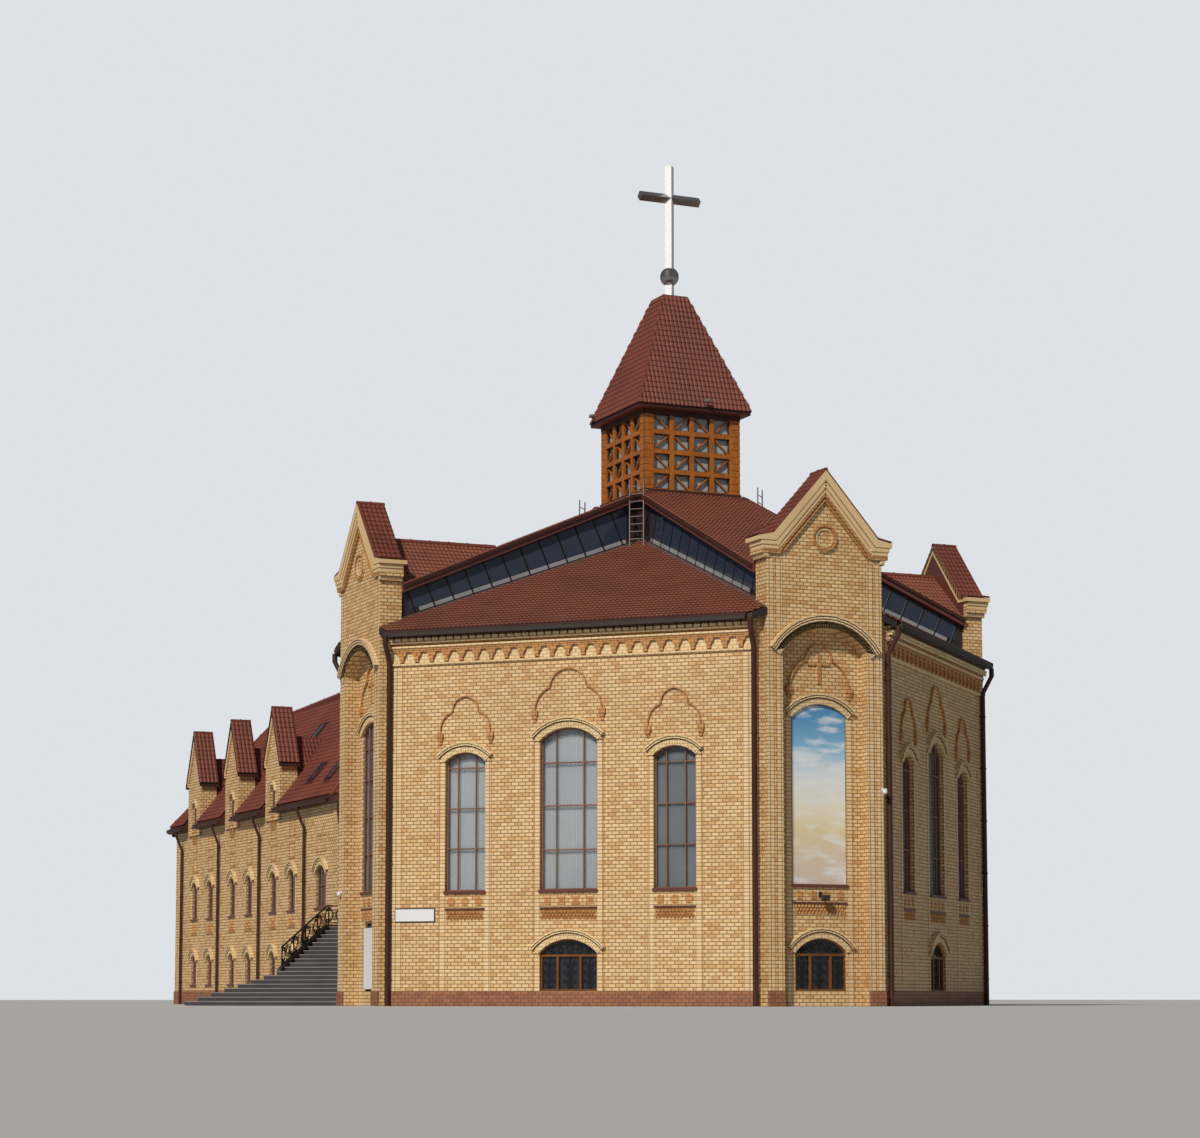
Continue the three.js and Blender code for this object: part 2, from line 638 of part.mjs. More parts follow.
function ladder() {
  const foot = lowerRoofHeight(LADDER.distance - LADDER.rail / 2) + GAP;
  const near = -LADDER.distance - LADDER.rail / 2;
  const far = -LADDER.distance + LADDER.rail / 2;
  const outer = LADDER.half + LADDER.rail;
  const pieces = [
    box(-outer, -LADDER.half, near, far, foot, LADDER.top),
    box(LADDER.half, outer, near, far, foot, LADDER.top),
  ];
  const pitch = (LADDER.top - foot) / (LADDER.rungs + 1);
  for (let i = 1; i <= LADDER.rungs; i += 1) {
    const height = foot + i * pitch;
    pieces.push(box(-outer + 0.01, outer - 0.01, near + 0.01, far - 0.01, height - 0.015, height + 0.015));
  }
  return joined(pieces);
}

place('roof_ladder', ladder(), 'iron', -QUARTER / 2);

// Slabs and floors of the hall

function hallPlan(spare) {
  const stop = BAY_BACK - spare;
  const reach = (WALL_FACE - WALL_THICK - spare) * ROOT2 - stop;
  const corner = [[stop, -reach], [stop, reach], [reach, stop], [-reach, stop]];
  return [...corner, ...corner.map(([x, y]) => [-x, -y])];
}

place('hall_ground_slab', raised(hallPlan(GAP), 0, SLAB), 'concrete');
place('hall_floor', raised(hallPlan(GAP), MAIN_FLOOR - SLAB, MAIN_FLOOR), 'concrete');

// Wing

const WING_INSIDE = WING_HALF - WING_WALL;
const SPLAY = WING_WALL * (ROOT2 - 1);

// The hall as a block that the wing's floors and roof end against
function hallBlock(spare, reachOut = WALL_STOP) {
  const stop = reachOut + spare;
  const reach = (WALL_FACE + spare) * ROOT2 - stop;
  const plan = [[-stop, -1], [stop, -1], [stop, reach], [reach, stop], [-reach, stop], [-stop, reach]];
  const walls = raised(plan, -1, BASE + 30);
  const half = BAY_HALF + spare;
  return walls.add(box(-half, half, 0, BAY_FACE + spare, -1, BASE + 30));
}

function sideWall(name, sign) {
  const ends = [sign * WING_CORNER, sign * (WING_END - WING_WALL - GAP)];
  const plan = [
    [ends[0] + sign * GAP, -WING_HALF], [ends[1], -WING_HALF],
    [ends[1], -WING_INSIDE], [ends[0] + sign * (SPLAY + GAP), -WING_INSIDE],
  ];
  const windows = GABLE_PLACES.flatMap((along) => [along, along - PAIR_SPACING])
    .flatMap((middle) => [[sign * middle, WING_WINDOW], [sign * middle, WING_LOW_WINDOW]]);
  windows.push([sign * PORCH_WINDOW_PLACE, WIDE_WINDOW]);
  let wall = raised(plan, 0, WING_EAVES - GAP);
  for (const middle of GABLE_PLACES) {
    wall = wall.add(wallGable(sign * middle));
  }
  const glass = glassSheet(windows, -WING_HALF + 0.2);
  wall = fitWindows(wall, windows, -WING_HALF, -WING_INSIDE + 0.2, glass);
  for (const middle of GABLE_PLACES) {
    wall = wall.add(hood(sign * middle, ATTIC_WINDOW, -DORMER_FRONT, 0.16, 0.05));
    wall = wall.subtract(windowHole(sign * middle, ATTIC_WINDOW, -DORMER_FRONT - 0.5, 0.2 - DORMER_BACK));
  }
  place(`wing_wall_${name}`, wall, 'brick', sign * QUARTER);
  place(`glass_wing_${name}`, glass(0), 'glass', sign * QUARTER);
}

function wallGable(middle) {
  const outline = [
    [middle - DORMER_HALF, ATTIC_FLOOR + GAP], [middle + DORMER_HALF, ATTIC_FLOOR + GAP],
    [middle + DORMER_HALF, DORMER_EAVES], [middle, DORMER_PEAK], [middle - DORMER_HALF, DORMER_EAVES],
  ];
  return upright(outline, -DORMER_FRONT, -DORMER_BACK);
}

sideWall('west', -1);
sideWall('east', 1);

function northWall() {
  const windows = [-8.1, -5.0, -1.55, 1.55, 5.0, 8.1]
    .flatMap((middle) => [[middle, WING_WINDOW], [middle, WING_LOW_WINDOW]]);
  const wall = box(-WING_HALF, WING_HALF, -WING_END, -WING_END + WING_WALL, 0, WING_EAVES - GAP);
  const glass = glassSheet(windows, -WING_END + 0.2);
  place('wing_wall_north', fitWindows(wall, windows, -WING_END, 0.2 - WING_END + WING_WALL, glass),
    'brick', 2 * QUARTER);
  place('glass_wing_north', glass(0), 'glass', 2 * QUARTER);
}

northWall();

// The cut corners of the wing: the door wall above the stair, and its plain twin to the east

function porchWall(sign) {
  const near = sign * (WALL_FACE + GAP);
  const corner = sign * (WING_HALF + WING_CORNER) / ROOT2;
  const inner = PORCH_FACE + WING_WALL;
  return raised([
    [near, PORCH_FACE], [corner, PORCH_FACE], [corner - sign * SPLAY, inner], [near, inner],
  ], 0, WING_EAVES - GAP);
}

const doorMiddle = -WALL_FACE - STAIR_WIDTH / 2;
const doorWall = porchWall(-1).add(hood(doorMiddle, DOOR, PORCH_FACE));
const doorHole = windowHole(doorMiddle, DOOR, PORCH_FACE - 0.5, PORCH_FACE + 1);
const doorLeaf = { ...DOOR, half: DOOR.half - 0.01, sill: DOOR.sill + GAP, rise: DOOR.rise - 0.01 };
place('porch_wall_west', doorWall.subtract(doorHole), 'brick', -QUARTER / 2);
place('entrance_doors', windowHole(doorMiddle, doorLeaf, PORCH_FACE + 0.22, PORCH_FACE + 0.30),
  'timber', -QUARTER / 2);

const porchWindow = [[-doorMiddle, WIDE_WINDOW]];
const porchGlass = glassSheet(porchWindow, PORCH_FACE + 0.2);
place('porch_wall_east', fitWindows(porchWall(1), porchWindow, PORCH_FACE, PORCH_FACE + 1, porchGlass),
  'brick', QUARTER / 2);
place('glass_porch_east', porchGlass(0), 'glass', QUARTER / 2);

// Floors of the wing

function wingFloor(top) {
  const inside = WING_INSIDE - GAP;
  const corner = WING_CORNER + SPLAY + GAP;
  const end = WING_END - WING_WALL - GAP;
  const plan = [[inside, corner], [inside, end], [-inside, end], [-inside, corner], [0, corner - inside]];
  return raised(plan, top - SLAB, top).subtract(hallBlock(GAP));
}

place('wing_ground_slab', wingFloor(SLAB), 'concrete');
place('wing_floor', wingFloor(MAIN_FLOOR), 'concrete');
place('attic_floor', wingFloor(ATTIC_FLOOR), 'concrete');

// Mansard roof of the wing, with the tile roofs of its wall gables and the links behind them

const DECK_RUN = 6.60;
const ROOF_OUTER = [
  [0, WING_EAVES],
  [0, WING_EAVES + EAVES_BOARD],
  [MANSARD_RUN, WING_EAVES + EAVES_BOARD + MANSARD_RISE],
  [MANSARD_RUN + DECK_RUN, WING_EAVES + EAVES_BOARD + MANSARD_RISE + DECK_RUN * TOP_SLOPE],
];
const CAVITY_EDGE = WING_OVERHANG + WING_WALL;
const ROOF_INNER = [
  [CAVITY_EDGE, WING_EAVES - 1],
  [CAVITY_EDGE, WING_EAVES + EAVES_BOARD + (CAVITY_EDGE * MANSARD_RISE) / MANSARD_RUN - 0.40],
  [MANSARD_RUN + 0.14, WING_EAVES + EAVES_BOARD + MANSARD_RISE - 0.28],
  [MANSARD_RUN + DECK_RUN, WING_EAVES + EAVES_BOARD + MANSARD_RISE + DECK_RUN * TOP_SLOPE - 0.3],
];

function mansard(steps) {
  const edge = WING_HALF + WING_OVERHANG;
  const northEdge = WING_END + WING_OVERHANG;
  const porchEdge = PORCH_FACE - WING_OVERHANG;
  const deck = steps[steps.length - 1][1];
  const bottom = steps[0][1];
  const length = upright(mirrored(steps.map(([run, height]) => [edge - run, height])), 0, northEdge);
  const north = across([
    ...steps.map(([run, height]) => [northEdge - run, height]), [0, deck], [0, bottom],
  ], -edge - 1, edge + 1);
  const corner = across([
    ...steps.map(([run, height]) => [porchEdge + run, height]), [60, deck], [60, bottom],
  ], -60, 60);
  return length.intersect(north)
    .intersect(turned(corner, -QUARTER / 2))
    .intersect(turned(corner, QUARTER / 2));
}

// Roof over one wall gable, in the frame of the wall that it stands in
function gableRoofs(middle) {
  const tip = DORMER_HALF + 0.20;
  const fall = (DORMER_PEAK - DORMER_EAVES) / DORMER_HALF;
  const under = (x) => DORMER_PEAK + GAP * 3 - fall * Math.abs(x);
  const tiles = upright([
    [middle - tip, under(tip)], [middle - tip, under(tip) + 0.2], [middle, DORMER_RIDGE],
    [middle + tip, under(tip) + 0.2], [middle + tip, under(tip)], [middle, under(0)],
  ], -DORMER_FRONT - 0.12, -DORMER_BACK + 0.10);
  const linkHalf = DORMER_HALF;
  const linkFoot = LINK_RIDGE - LINK_SLOPE * linkHalf;
  const link = upright([
    [middle - linkHalf, WING_EAVES + 1.2], [middle + linkHalf, WING_EAVES + 1.2],
    [middle + linkHalf, linkFoot], [middle, LINK_RIDGE], [middle - linkHalf, linkFoot],
  ], -DORMER_BACK + GAP, -DORMER_BACK + 2.6);
  const cladding = upright([
    [middle - DORMER_HALF, WING_EAVES + 1.2], [middle + DORMER_HALF, WING_EAVES + 1.2],
    [middle + DORMER_HALF, DORMER_EAVES + 0.1], [middle, DORMER_RIDGE - 0.1],
    [middle - DORMER_HALF, DORMER_EAVES + 0.1],
  ], -DORMER_BACK + GAP, -DORMER_BACK + 0.08);
  return joined([tiles, link, cladding]);
}

function gableClearance(middle) {
  const half = DORMER_HALF + GAP;
  return box(middle - half, middle + half, -DORMER_FRONT - 1, -DORMER_BACK + GAP, 0, DORMER_PEAK + 2);
}

// The shell in three pieces: the two steep sides with their small roofs, and the middle between them
function wingRoof() {
  const stop = BAY_FACE + 0.06;
  let body = mansard(ROOF_OUTER).subtract(hallBlock(GAP, stop));
  const hollow = mansard(ROOF_INNER).subtract(hallBlock(0.25, stop));
  const sides = [-1, 1].flatMap((sign) => GABLE_PLACES.map((along) => [sign, along]));
  for (const [sign, along] of sides) {
    body = body.subtract(turned(gableClearance(sign * along), sign * QUARTER));
  }
  for (const [sign, along] of sides) {
    body = body.add(turned(gableRoofs(sign * along), sign * QUARTER));
  }
  const shell = body.subtract(hollow);
  const split = WING_HALF + WING_OVERHANG - MANSARD_RUN;
  const piece = (left, right) => shell.intersect(box(left, right, 0, WING_END + 1, WING_EAVES - 1, BASE + 30));
  place('wing_roof_west', piece(-WING_HALF - 1, -split - GAP), 'tile');
  place('wing_roof_middle', piece(-split, split), 'tile');
  place('wing_roof_east', piece(split + GAP, WING_HALF + 1), 'tile');
}

wingRoof();

// Entrance stair: a spread lower flight and a straight upper one along the hall

function lowerFlight() {
  const left = -WALL_FACE - STAIR_WIDTH;
  const foot = STAIR_TOP - (RISERS_LOW + RISERS_HIGH) * GOING;
  const back = STAIR_TOP - RISERS_HIGH * GOING;
  const steps = [];
  for (let i = 0; i < RISERS_LOW; i += 1) {
    const spread = (RISERS_LOW - i) * GOING;
    steps.push(box(left - spread, -WALL_FACE - GAP, foot + i * GOING, back - GAP, 0, (i + 1) * RISE));
  }
  return joined(steps);
}

function upperFlight() {
  const left = -WALL_FACE - STAIR_WIDTH;
  const foot = STAIR_TOP - RISERS_HIGH * GOING;
  const steps = [];
  for (let i = 0; i < RISERS_HIGH; i += 1) {
    steps.push(box(left, -WALL_FACE - GAP, foot + i * GOING, PORCH_FACE - GAP, 0, (RISERS_LOW + i + 1) * RISE));
  }
  return joined(steps);
}

place('stair_lower_flight', lowerFlight(), 'granite', -QUARTER / 2);
place('stair_upper_flight', upperFlight(), 'granite', -QUARTER / 2);

const RAIL = { height: 0.95, low: 0.16, thick: 0.05, inset: 0.10, posts: 6 };

function balustrade() {
  const left = -WALL_FACE - STAIR_WIDTH + RAIL.inset;
  const right = left + RAIL.thick;
  const foot = STAIR_TOP - RISERS_HIGH * GOING;
  const tread = (along) => {
    const steps = Math.floor((along - foot) / GOING + 1e-6) + 1;
    return Math.min(RISERS_LOW + steps, RISERS_LOW + RISERS_HIGH) * RISE;
  };
  const line = (along) => Math.min(RISERS_LOW * RISE + ((along - foot) / GOING + 1) * RISE, MAIN_FLOOR);
  const bend = STAIR_TOP - GOING;
  const start = foot + GOING / 2;
  const end = PORCH_FACE - 0.06;
  const rail = (height) => across([
    [start, line(start) + height], [bend, MAIN_FLOOR + height], [end, MAIN_FLOOR + height],
    [end, MAIN_FLOOR + height + RAIL.thick], [bend, MAIN_FLOOR + height + RAIL.thick],
    [start, line(start) + height + RAIL.thick],
  ], left, right);
  const pieces = [rail(RAIL.height), rail(RAIL.low)];
  for (let i = 0; i < RAIL.posts; i += 1) {
    const along = start + (i * (end - start)) / (RAIL.posts - 1);
    const from = Math.min(Math.max(along - RAIL.thick / 2, start), end - RAIL.thick);
    pieces.push(box(left, right, from, from + RAIL.thick, tread(from + RAIL.thick) + GAP,
      line(from) + RAIL.height + RAIL.thick / 2));
  }
  return joined(pieces);
}

place('stair_balustrade', balustrade(), 'iron', -QUARTER / 2);

export default part;
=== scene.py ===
import bpy
from math import atan2, cos, hypot, pi, radians, sin, sqrt
from mathutils import Matrix, Vector


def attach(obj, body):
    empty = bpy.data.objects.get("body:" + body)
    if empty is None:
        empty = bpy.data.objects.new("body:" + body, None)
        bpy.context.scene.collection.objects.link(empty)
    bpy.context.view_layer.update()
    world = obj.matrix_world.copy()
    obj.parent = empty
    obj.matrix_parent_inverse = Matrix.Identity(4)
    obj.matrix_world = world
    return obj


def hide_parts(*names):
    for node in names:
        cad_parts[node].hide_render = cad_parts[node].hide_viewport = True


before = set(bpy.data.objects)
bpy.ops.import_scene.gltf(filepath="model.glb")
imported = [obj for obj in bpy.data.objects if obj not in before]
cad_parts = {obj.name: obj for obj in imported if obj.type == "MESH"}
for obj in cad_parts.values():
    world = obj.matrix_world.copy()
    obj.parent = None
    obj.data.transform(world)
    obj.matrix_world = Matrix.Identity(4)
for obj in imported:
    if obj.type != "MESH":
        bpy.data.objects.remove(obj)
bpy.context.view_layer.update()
root2 = sqrt(2)

# The building is modelled at half its real size, and its hall stands 0.6 m above the foot of the stair.
# Sizes below are real metres, and heights count from the hall's ground.
# at() turns both into the frame's metres.
modelScale = 0.5
hallGround = 0.6
siteLevel = -hallGround
fullTurn = 2 * pi - 0.001  # a ring that stops just short of its own start
quarterTurns = (0, 90, 180, 270)


def at(x, y, z):
    return Vector((x, y, z + hallGround)) * modelScale


# Camera first
view = {"place": (-26.5984, -56.9936, 0.15), "tilt": 5.801, "turn": -23.574, "lens": 84.387, "shift": 0.12,
        "reach": 500}
bpy.ops.object.camera_add(
    location=view["place"], rotation=(radians(90 + view["tilt"]), 0, radians(view["turn"])))
camera = bpy.context.object
camera.data.lens = view["lens"]
camera.data.shift_y = view["shift"]
camera.data.clip_end = view["reach"]
bpy.context.scene.camera = camera

# Soft key from the left front, a weak fill from the right, and a pale room
light = {
    "turn": -50, "tilt": 53, "strength": 3.1, "softness": 4, "colour": (1.0, 0.94, 0.85),
    "fillTurn": 65, "fillTilt": 55, "fill": 0.04, "fillSoftness": 60, "fillColour": (0.85, 0.92, 1.0),
    "room": 0.18, "roomColour": (0.78, 0.87, 1.0, 1),
    "backdrop": 0.85, "backdropColour": (0.86, 0.89, 0.93, 1),
}


def addSun(tilt, turn, strength, softness, colour):
    bpy.ops.object.light_add(type="SUN", rotation=(radians(tilt), 0, radians(turn)))
    sun = bpy.context.object.data
    sun.energy = strength
    sun.angle = radians(softness)
    sun.color = colour


addSun(light["tilt"], light["turn"], light["strength"], light["softness"], light["colour"])
addSun(light["fillTilt"], light["fillTurn"], light["fill"], light["fillSoftness"], light["fillColour"])
world = bpy.data.worlds.new("room")
bpy.context.scene.world = world
world.use_nodes = True
room = world.node_tree.nodes["Background"]
room.inputs["Color"].default_value = light["roomColour"]
room.inputs["Strength"].default_value = light["room"]
backdrop = world.node_tree.nodes.new("ShaderNodeBackground")
backdrop.inputs["Color"].default_value = light["backdropColour"]
backdrop.inputs["Strength"].default_value = light["backdrop"]
seen = world.node_tree.nodes.new("ShaderNodeLightPath")
either = world.node_tree.nodes.new("ShaderNodeMixShader")
world.node_tree.links.new(seen.outputs["Is Camera Ray"], either.inputs[0])
world.node_tree.links.new(room.outputs[0], either.inputs[1])
world.node_tree.links.new(backdrop.outputs[0], either.inputs[2])
world.node_tree.links.new(either.outputs[0], world.node_tree.nodes["World Output"].inputs["Surface"])
bpy.context.scene.view_settings.view_transform = "Standard"
print("camera and lights are set")


# Working steps that many pieces share
def deselectAll():
    if bpy.context.mode != "OBJECT":
        bpy.ops.object.mode_set(mode="OBJECT")
    bpy.ops.object.select_all(action="DESELECT")


def pick(pieces):
    deselectAll()
    for piece in pieces:
        piece.select_set(True)
    bpy.context.view_layer.objects.active = pieces[0]


def edit(piece):
    pick([piece])
    bpy.ops.object.mode_set(mode="EDIT")
    bpy.ops.mesh.select_all(action="SELECT")


def objectMode():
    bpy.ops.object.mode_set(mode="OBJECT")


def settle(piece):
    pick([piece])
    bpy.ops.object.transform_apply(location=True, rotation=True, scale=True)
    return piece


def selectPart(piece, kind, test):
    # Back in edit mode with only the vertices or faces that pass the test selected
    objectMode()
    for item in list(piece.data.vertices) + list(piece.data.edges) + list(piece.data.polygons):
        item.select = False
    if kind == "VERT":
        for vertex in piece.data.vertices:
            vertex.select = test(vertex.co)
    else:
        for face in piece.data.polygons:
            face.select = test(face)
    bpy.ops.object.mode_set(mode="EDIT")
    bpy.ops.mesh.select_mode(type=kind)


def join(pieces):
    pick(pieces)
    if len(pieces) > 1:
        bpy.ops.object.join()
    return bpy.context.object


def applyModifier(piece, kind, **values):
    pick([piece])
    modifier = piece.modifiers.new(kind.lower(), kind)
    for key, value in values.items():
        setattr(modifier, key, value)
    bpy.ops.object.modifier_apply(modifier=modifier.name)
    return piece


def repeat(piece, step, count):
    return applyModifier(piece, "ARRAY", use_relative_offset=False, use_constant_offset=True,
                         constant_offset_displace=Vector(step) * modelScale, count=count)


def copy(piece, turn=0, move=(0, 0, 0)):
    # A copy with its own mesh, turned in degrees about the tower's axis
    pick([piece])
    bpy.ops.object.duplicate()
    twin = bpy.context.object
    twin.data = twin.data.copy() if twin.data.users > 1 else twin.data
    twin.matrix_world = Matrix.Rotation(radians(turn), 4, "Z") @ Matrix.Translation(Vector(move) * modelScale)
    return settle(twin)


def mirror(piece):
    # A copy on the other side of the plane x = 0, its normals recalculated
    pick([piece])
    bpy.ops.object.duplicate()
    twin = bpy.context.object
    twin.scale = (-1, 1, 1)
    settle(twin)
    edit(twin)
    bpy.ops.mesh.normals_make_consistent(inside=False)
    objectMode()
    return twin


def bevelEdges(piece, size):
    if size:
        edit(piece)
        bpy.ops.mesh.bevel(offset=size * modelScale, segments=1, affect="EDGES")
        objectMode()
    return piece


def block(x, y, z, bevel=0.012):
    # A bar or slab between two planes each way, its edges bevelled
    deselectAll()
    low, high = at(x[0], y[0], z[0]), at(x[1], y[1], z[1])
    bpy.ops.mesh.primitive_cube_add(size=1, location=(low + high) / 2, scale=high - low)
    return bevelEdges(settle(bpy.context.object), bevel)


def beam(start, end, side, depth, bevel=0.008):
    # A straight bar between two points, side and depth across it
    deselectAll()
    a, b = at(*start), at(*end)
    run = b - a
    bpy.ops.mesh.primitive_cube_add(size=1, location=(a + b) / 2,
                                    scale=(side * modelScale, depth * modelScale, run.length))
    piece = bpy.context.object
    across = Vector((0, 1, 0)) if abs(run.normalized().y) < 0.9 else Vector((1, 0, 0))
    sideways = across.cross(run).normalized()
    axes = Matrix((sideways, run.normalized().cross(sideways), run.normalized())).transposed()
    piece.rotation_euler = axes.to_euler()
    return bevelEdges(settle(piece), bevel)


def spun(centre, radius, width, y, start, sweep, steps, separate=0.0):
    # A bar bent round a level axis through the centre, or a ring of single bricks with a gap between them
    deselectAll()
    hub = at(centre[0], (y[0] + y[1]) / 2, centre[1])
    ray = Vector((sin(start), 0, cos(start)))
    bpy.ops.mesh.primitive_plane_add(
        size=1, location=hub + ray * (radius + width / 2) * modelScale, rotation=(0, start - pi / 2, 0))
    piece = bpy.context.object
    piece.scale = (width * modelScale, (y[1] - y[0]) * modelScale, 1)
    settle(piece)
    edit(piece)
    if separate:
        brick = abs(sweep) / steps * (1 - separate)
        bpy.ops.mesh.spin(steps=1, angle=-brick, center=hub, axis=(0, 1, 0), dupli=False)
        bpy.ops.mesh.select_all(action="SELECT")
        bpy.ops.mesh.spin(steps=steps - 1, angle=-sweep * (steps - 1) / steps, center=hub, axis=(0, 1, 0),
                          dupli=True)
    else:
        bpy.ops.mesh.spin(steps=steps, angle=-sweep, center=hub, axis=(0, 1, 0), dupli=False)
    bpy.ops.mesh.select_all(action="SELECT")
    bpy.ops.mesh.remove_doubles(threshold=0.0001)
    bpy.ops.mesh.normals_make_consistent(inside=False)
    objectMode()
    return piece


def archShape(opening):
    # Centre height, radius and half angle of a segmental arch
    half, rise = opening["half"], opening["rise"]
    radius = (half * half + rise * rise) / (2 * rise)
    return opening["spring"] + rise - radius, radius, atan2(half, radius - rise)


def archHeight(opening, x):
    centre, radius, _ = archShape(opening)
    return centre + sqrt(max(radius * radius - x * x, 0))


def bisect(piece, point, normal, fill=False, clear=True):
    # Cuts along a plane and drops what lies on the side that the normal points to
    edit(piece)
    bpy.ops.mesh.bisect(plane_co=point, plane_no=Vector(normal).normalized(), use_fill=fill,
                        clear_outer=clear, clear_inner=False)
    objectMode()
    return piece


def finishPiece(name, pieces, material, turn=0):
    piece = join(pieces)
    piece.name = name
    if turn:
        piece.rotation_euler = (0, 0, radians(turn))
        settle(piece)
    piece.data.materials.clear()
    piece.data.materials.append(material)
    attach(piece, "root")
    return piece


def discard(pieces):
    for piece in list(pieces):
        bpy.data.objects.remove(piece)


def allRound(name, template, material, extra=(), turns=quarterTurns):
    # Copies of a template about the tower's axis, joined in one piece
    finishPiece(name, [copy(template, turn) for turn in turns] + list(extra), material)
    discard([template])


# Shader steps
def wire(tree, value, socket):
    if isinstance(value, bpy.types.NodeSocket):
        tree.links.new(value, socket)
    elif value is not None:
        socket.default_value = value


def shaderNode(tree, kind, inputs=(), **settings):
    node = tree.nodes.new(kind)
    for key, value in settings.items():
        setattr(node, key, value)
    for socket, value in dict(inputs).items():
        wire(tree, value, node.inputs[socket])
    return node


def calc(tree, operation, first, second=None):
    return shaderNode(tree, "ShaderNodeMath", {0: first, 1: second}, operation=operation).outputs[0]


def ranged(tree, value, fromLow, fromHigh, toLow=0.0, toHigh=1.0):
    node = shaderNode(tree, "ShaderNodeMapRange", {"Value": value, "From Min": fromLow, "From Max": fromHigh,
                      "To Min": toLow, "To Max": toHigh}, interpolation_type="SMOOTHSTEP")
    return node.outputs["Result"]


def noise(tree, place, scale, detail):
    node = shaderNode(tree, "ShaderNodeTexNoise", {"Vector": place, "Scale": scale, "Detail": detail})
    return node.outputs[0]


def stretch(tree, place, scale):
    return shaderNode(tree, "ShaderNodeVectorMath", {0: place, 1: scale}, operation="MULTIPLY").outputs[0]


def blendColours(tree, factor, first, second, mode="MIX"):
    node = shaderNode(tree, "ShaderNodeMix", {"Factor": factor}, data_type="RGBA", blend_type=mode)
    wire(tree, first, node.inputs[6])
    wire(tree, second, node.inputs[7])
    return node.outputs[2]


def newGroup(name, inputs, outputs):
    group = bpy.data.node_groups.new(name, "ShaderNodeTree")
    for label, default in inputs.items():
        socket = group.interface.new_socket(name=label, in_out="INPUT", socket_type="NodeSocketFloat")
        socket.default_value = default
    for label in outputs:
        group.interface.new_socket(name=label, in_out="OUTPUT", socket_type="NodeSocketFloat")
    return group, group.nodes.new("NodeGroupInput").outputs, group.nodes.new("NodeGroupOutput").inputs


def makeCoursedGroup():
    # Courses of bricks on any upright face: the level direction follows the face's own normal
    group, given, result = newGroup(
        "coursed bricks", {"Length": 0.158, "Course": 0.077, "Joint": 0.006, "Shift": 0.5},
        ["Joint Mask", "Height", "Tone", "Centre"])
    place = shaderNode(group, "ShaderNodeTexCoord")
    level = shaderNode(group, "ShaderNodeVectorMath", {0: (0, 0, 1), 1: place.outputs["Normal"]},
                       operation="CROSS_PRODUCT")
    level = shaderNode(group, "ShaderNodeVectorMath", {0: level.outputs[0]}, operation="NORMALIZE")
    run = shaderNode(group, "ShaderNodeVectorMath", {0: place.outputs["Object"], 1: level.outputs[0]},
                     operation="DOT_PRODUCT").outputs["Value"]
    height = shaderNode(group, "ShaderNodeSeparateXYZ", {0: place.outputs["Object"]}).outputs["Z"]
    rowPlace = calc(group, "DIVIDE", height, given["Course"])
    row = calc(group, "FLOOR", rowPlace)
    odd = calc(group, "PINGPONG", row, 1.0)
    brickPlace = calc(group, "ADD", calc(group, "DIVIDE", run, given["Length"]),
                      calc(group, "MULTIPLY", odd, given["Shift"]))
    brick = calc(group, "FLOOR", brickPlace)
    fromEnd = calc(group, "MULTIPLY", calc(group, "PINGPONG", brickPlace, 0.5), given["Length"])
    fromBed = calc(group, "MULTIPLY", calc(group, "PINGPONG", rowPlace, 0.5), given["Course"])
    nearest = calc(group, "MINIMUM", fromEnd, fromBed)
    half = calc(group, "MULTIPLY", given["Joint"], 0.5)
    wire(group, ranged(group, nearest, half, given["Joint"], 1.0, 0.0), result["Joint Mask"])
    wire(group, ranged(group, nearest, half, calc(group, "MULTIPLY", given["Joint"], 1.6)), result["Height"])
    wire(group, ranged(group, nearest, given["Joint"], calc(group, "MULTIPLY", given["Course"], 0.42)),
         result["Centre"])
    cell = shaderNode(group, "ShaderNodeCombineXYZ", {"X": brick, "Y": row}).outputs[0]
    tone = shaderNode(group, "ShaderNodeTexWhiteNoise", {"Vector": cell}, noise_dimensions="2D")
    wire(group, tone.outputs["Value"], result["Tone"])
    return group


def makeWeatherGroup():
    # Broad stains, rain streaks and fine grain
    group, given, result = newGroup("weather", {"Broad": 0.9, "Fine": 60.0}, ["Stain", "Streak", "Grain"])
    place = shaderNode(group, "ShaderNodeTexCoord").outputs["Object"]
    broad = noise(group, place, given["Broad"], 5.0)
    wire(group, ranged(group, broad, 0.42, 0.68), result["Stain"])
    streak = noise(group, stretch(group, place, (3.0, 3.0, 0.35)), given["Broad"], 4.0)
    wire(group, ranged(group, streak, 0.48, 0.72), result["Streak"])
    wire(group, noise(group, place, given["Fine"], 3.0), result["Grain"])
    return group


coursedGroup = makeCoursedGroup()
weatherGroup = makeWeatherGroup()


def newMaterial(name, roughness=0.6, **sockets):
    material = bpy.data.materials.new(name)
    material.use_nodes = True
    tree = material.node_tree
    shader = tree.nodes["Principled BSDF"]
    shader.inputs["Roughness"].default_value = roughness
    for label, value in sockets.items():
        shader.inputs[label.replace("_", " ")].default_value = value
    return material, tree, shader


def useGroup(tree, group, **values):
    node = tree.nodes.new("ShaderNodeGroup")
    node.node_tree = group
    for label, value in values.items():
        node.inputs[label].default_value = value
    return node.outputs


def bump(tree, shader, height, strength, distance):
    node = shaderNode(tree, "ShaderNodeBump", {"Height": height, "Strength": strength, "Distance": distance})
    wire(tree, node.outputs[0], shader.inputs["Normal"])


def ramp(tree, factor, stops):
    node = shaderNode(tree, "ShaderNodeValToRGB", {0: factor})
    elements = node.color_ramp.elements
    while len(elements) < len(stops):
        elements.new(0.5)
    for element, (place, colour) in zip(elements, stops):
        element.position = place
        element.color = (*colour, 1)
    return node.outputs[0]


